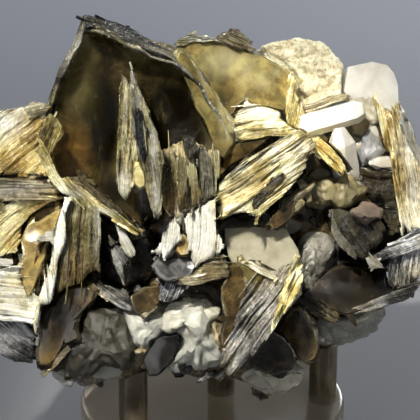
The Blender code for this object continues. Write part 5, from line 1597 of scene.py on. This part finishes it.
# Knobs of quartz as the photograph shows them: tint, outline in pixels, rise in millimetres, and surface.
KNOBS = {
    "quartz_smoky": (
        "smoky", "86,306 104,308 114,310 122,312 126,320 129,332 133,342 136,352 134,364 126,371 118,367 "
        "104,365 96,372 88,378 80,381 70,376 64,364 60,352 66,342 74,336 82,330 80,318", 3.0, CRISP,
    ),
    "quartz_white_left": (
        "white", "123,311 140,313 152,320 160,318 170,320 166,328 160,334 152,340 148,347 142,349 134,344 "
        "130,334 127,322", 2.8, CRISP,
    ),
    "quartz_tan_left": ("tan", "130,348 142,346 150,348 150,358 144,367 136,365 128,358", 2.4, WORN),
    "quartz_milky": (
        "milky", "160,318 170,304 186,298 204,298 218,302 224,312 214,322 200,328 188,328 178,326 170,332 "
        "160,332", 2.4, WORN,
    ),
    "quartz_white_column": (
        "white", "184,310 200,306 210,316 212,330 217,342 226,350 223,363 210,366 203,368 196,370 189,362 "
        "189,348 191,336 188,328 183,322", 3.4, CRISP,
    ),
    "quartz_white_foot": (
        "white", "184,348 190,340 198,344 200,356 194,366 184,373 174,373 168,366 175,356", 3.0, CRISP,
    ),
    "quartz_tan_right": (
        "tan", "206,320 216,311 230,311 240,316 238,330 230,344 224,351 214,344 208,332", 2.8, WORN,
    ),
    "quartz_left_toe": ("white", "51,362 58,358 64,366 68,374 76,380 72,386 62,383 54,376", 1.6, CRISP),
    "quartz_toe": (
        "cream", "250,368 262,376 282,378 292,372 306,372 305,382 295,386 280,390 272,388 270,380", 2.0,
        WORN,
    ),
    "quartz_low_right": (
        "mist", "310,318 318,345 330,345 352,342 368,336 380,325 388,305 366,310 343,315", 2.0, WORN,
    ),
    "quartz_rear": (
        "cream", "340,100 352,93 370,93 380,104 385,118 376,126 366,120 360,110 350,106", 2.0, WORN,
    ),
    "quartz_pocket": ("tan", "344,126 352,118 362,121 368,119 372,128 362,140 354,138", 2.0, WORN),
    "quartz_grey": ("grey", "361,137 370,130 378,138 385,151 372,161 362,167 359,150", 2.4, CRISP),
    "quartz_clump_left": (
        "yellow", "296,200 303,188 312,179 322,175 336,177 338,196 331,206 318,206 303,205", 3.6, WORN,
    ),
    "quartz_clump_right": (
        "yellow", "334,177 348,174 357,178 363,185 369,192 361,200 353,209 340,209 334,202", 4.4, WORN,
    ),
    "quartz_block": ("pink", "352,212 362,204 374,203 383,209 380,218 367,223 360,219", 2.6, CRISP),
    "quartz_lump": (
        "veil", "298,262 303,246 312,237 322,234 332,237 335,246 331,258 325,272 318,286 310,297 303,297 "
        "300,280", 4.4, CRISP,
    ),
}


def knob_form(flat, rise, crisp, ground, chance):
    """A faceted knob: rings of its outline that narrow toward the top, at uneven heights."""
    count = len(flat)
    base = ground.plane(flat)
    middle = flat.mean(0)
    rings = []
    for share, height, uneven in KNOB_RINGS:
        uneven = uneven if crisp else 0.04
        up = height * (rise if height > 0 else 1.0) + rise * uneven * chance.uniform(-1, 1, count)
        spots = middle + (flat - middle) * share * chance.uniform(0.96, 1.04, (count, 1)) ** (share < 1)
        rings += [photo_point(*spots[k], base[k] - up[k]) for k in range(count)]
    rings.append(photo_point(*middle, base.mean() - rise))
    rings.append(photo_point(*middle, base.mean() + 4.0))
    tris = []
    for here in range(3 * count):
        after = here + 1 if (here + 1) % count else here + 1 - count
        tris += [(here, after, after + count), (here, after + count, here + count)]
    for corner in range(count):
        after = (corner + 1) % count
        tris += [(3 * count + corner, 3 * count + after, 4 * count), (after, corner, 4 * count + 1)]
    return Form(np.array(rings), np.array(tris))


def faceted(name, form, sizes, angle, soften=0):
    """A crystal's mesh: its facets kept crisp, or softened, and its surface a little uneven."""
    form.finer(3)
    points, merged = np.unique(np.round(form.points, 4), axis=0, return_inverse=True)
    tris = outward(points, merged.reshape(-1)[form.tris])
    mesh = bpy.data.meshes.new(name)
    mesh.from_pydata((points / MM).tolist(), [], tris.tolist())
    shape = bmesh.new()
    shape.from_mesh(mesh)
    for _ in range(soften):
        bmesh.ops.smooth_vert(
            shape, verts=shape.verts, factor=0.5, use_axis_x=True, use_axis_y=True, use_axis_z=True,
        )
    shape.to_mesh(mesh)
    shape.free()
    roughen(mesh, sizes)
    mesh.shade_smooth()
    mesh.set_sharp_from_angle(angle=math.radians(angle))
    return mesh


def knobs():
    """The knobs of quartz between the books."""
    ground = Ground()
    for node in sorted(frame["nodes"]):
        if not node.startswith("stand"):
            form = form_of(node)
            ground.add(form.points, form.tris)
    chance = np.random.default_rng(KNOB_SEED)
    made = {name: pale_crystal(name + "_quartz", *TINTS[name]) for name in TINTS}
    for name, (tint, outline, rise, surface) in KNOBS.items():
        form = knob_form(pixels(outline), rise, surface == CRISP, ground, chance)
        carried(add(name, faceted(name, form, *surface), made[tint]))


def crest():
    """The rounded lump at the top, mica broken across its sheets."""
    sizes = (5.0, 0.9, True), (1.7, 0.35, True), (0.9, 0.2, False)
    piece, points = remeshed("crest_torn", CREST, LOOKS["torn_cream"][0], 0.4, sizes)
    # The crest's tone of 1.35 is partly its pale colour, partly painted light.
    stack = painted({"points": points}, CREST, 1.35)
    stack["level"] = (points @ np.array(own_axes(form_of(CREST).cleavage())).T)[:, 2]
    for key in ("level", "tone", *PATCHES):
        put(piece.data, key, stack[key])
    carried(piece, CREST)


def crystals():
    """The albite and the two blocky quartz crystals, with their facets kept."""
    white = pale_crystal("white_albite", (0.93, 0.91, 0.84), (0.76, 0.73, 0.64), 0.3)
    cream = pale_crystal("cream_quartz", (0.4, 0.375, 0.275), (0.28, 0.255, 0.17), 0.3)
    for node in sorted(frame["nodes"]):
        if node.startswith(("albite", "quartz_crystal")):
            mesh = faceted(node, form_of(node), ((3.0, 0.14, True), (1.2, 0.05, False)), 18)
            piece = add(node + "_facets", mesh, cream if node == "quartz_crystal_centre" else white)
            carried(piece, node)


def turned(name, centre, outline, sides):
    """A solid turned about a vertical line, from (radius, height) points in millimetres."""
    angles = [2 * math.pi * side / sides for side in range(sides)]
    verts = []
    for radius, height in outline:
        for angle in angles:
            x, y = centre.x + radius * math.cos(angle), centre.y + radius * math.sin(angle)
            verts.append((x / MM, y / MM, height / MM))
    faces = []
    for start in range(0, len(verts) - sides, sides):
        for side in range(sides):
            here, beside = start + side, start + (side + 1) % sides
            faces.append((here, beside, beside + sides, here + sides))
    faces += [tuple(reversed(range(sides))), tuple(range(len(verts) - sides, len(verts)))]
    mesh = bpy.data.meshes.new(name)
    mesh.from_pydata(verts, [], faces)
    mesh.shade_smooth()
    mesh.set_sharp_from_angle(angle=math.radians(35))
    return mesh


def rounded(radius, low, high, edge, steps=5):
    """The outline of a round plate or rod whose rims are rounded over by edge millimetres."""
    outline = [(radius * 0.5, low)]
    for height, start in ((low + edge, -90), (high - edge, 0)):
        for step in range(steps + 1):
            angle = math.radians(start + 90 * step / steps)
            outline.append((radius - edge + edge * math.cos(angle), height + edge * math.sin(angle)))
    outline.append((radius * 0.5, high))
    return outline


def stand():
    """The clear base and the three dark rods, turned."""
    steel = dark_steel()
    for node, sides, edge, material in (
        ("stand_base", 128, 1.2, acrylic()), ("stand_peg_front", 48, 0.5, steel),
        ("stand_peg_back", 48, 0.5, steel), ("stand_peg_right", 48, 0.5, steel),
    ):
        low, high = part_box(node)
        centre = (low + high) * (MM / 2)
        radius = (high.x - low.x) * (MM / 2)
        mesh = turned(node, centre, rounded(radius, low.z * MM, high.z * MM, edge), sides)
        carried(add(node + "_turned", mesh, material), node)


# The lights: place and aim in metres from the middle of the show face, width and height, power in watts,
# spread in degrees, and colour.
LIGHTS = {
    "key": ((-0.12, -0.26, 0.415), (0.004, -0.004, -0.003), 0.084, 0.074, 0.043, 8, (1.0, 0.96, 0.87)),
    "fill": ((-0.35, -0.45, 0.15), (0, 0, 0), 0.30, 0.30, 0.15, 90, (0.98, 0.98, 1.0)),
    "rear": ((0.1, 0.55, 0.45), (0, 0, 0), 0.30, 0.30, 0.10, 120, (0.97, 0.98, 1.0)),
    "back": ((0.28, 0.66, 0.12), (0, 0, 0), 0.30, 0.24, 0.16, 50, (0.97, 0.98, 1.0)),
    "side": ((0.62, 0.02, 0.14), (0, 0, 0), 0.30, 0.24, 0.05, 60, (0.98, 0.98, 1.0)),
    "backdrop": ((0, 0.50, 0.35), (0, 0.55, -0.06), 0.70, 0.40, 0.62, 110, (0.86, 0.89, 1.0)),
}
ROOM = (0.92, 0.95, 1.0, 1)
ROOM_STRENGTH = 0.21
FLOOR = ((0.38, 0.39, 0.415), (0.41, 0.42, 0.445))
FLOOR_HALF = (4.0, 6.0)  # in metres


def studio():
    """A plain floor, a camera at the photograph's angle, and soft lights."""
    wide, deep = FLOOR_HALF
    mesh = bpy.data.meshes.new("floor")
    corners = [(-wide, -deep, 0), (wide, -deep, 0), (wide, deep, 0), (-wide, deep, 0)]
    mesh.from_pydata(corners, [], [(0, 1, 2, 3)])
    n = Nodes("floor_paper")
    n.bump(n.noise(300, 3), 0.05, 0.0003)
    floor = add("floor", mesh, n.finish(n.mix(n.noise(4, 2), *FLOOR), 0.75))
    floor.location.z = -0.0005
    lens = bpy.data.cameras.new("camera")
    lens.lens = LENS
    lens.sensor_width = SENSOR
    lens.clip_start = 0.01
    scene = bpy.context.scene
    camera = bpy.data.objects.new("camera", lens)
    scene.collection.objects.link(camera)
    camera.matrix_world = Matrix.Translation(EYE / MM) @ Matrix((RIGHT, UP, VIEW)).transposed().to_4x4()
    scene.camera = camera
    world = bpy.data.worlds.new("room")
    world.use_nodes = True
    world.node_tree.nodes["Background"].inputs[0].default_value = ROOM
    world.node_tree.nodes["Background"].inputs[1].default_value = ROOM_STRENGTH
    scene.world = world
    scene.view_settings.view_transform = "Standard"
    for name, (place, aim, wide, tall, power, spread, colour) in LIGHTS.items():
        lamp = bpy.data.lights.new(name, "AREA")
        lamp.shape = "RECTANGLE"
        lamp.size = wide
        lamp.size_y = tall
        lamp.energy = power
        lamp.color = colour
        lamp.spread = math.radians(spread)
        light = bpy.data.objects.new(name, lamp)
        z = (Vector(place) - Vector(aim)).normalized()
        x = (RIGHT - z * RIGHT.dot(z)).normalized()
        turn = Matrix((x, z.cross(x), z)).transposed()
        light.matrix_world = Matrix.Translation(MIDDLE / MM + Vector(place)) @ turn.to_4x4()
        scene.collection.objects.link(light)


cluster = mica()
splinters(cluster)
flakes(cluster, matrix())
knobs()
crest()
crystals()
stand()
studio()
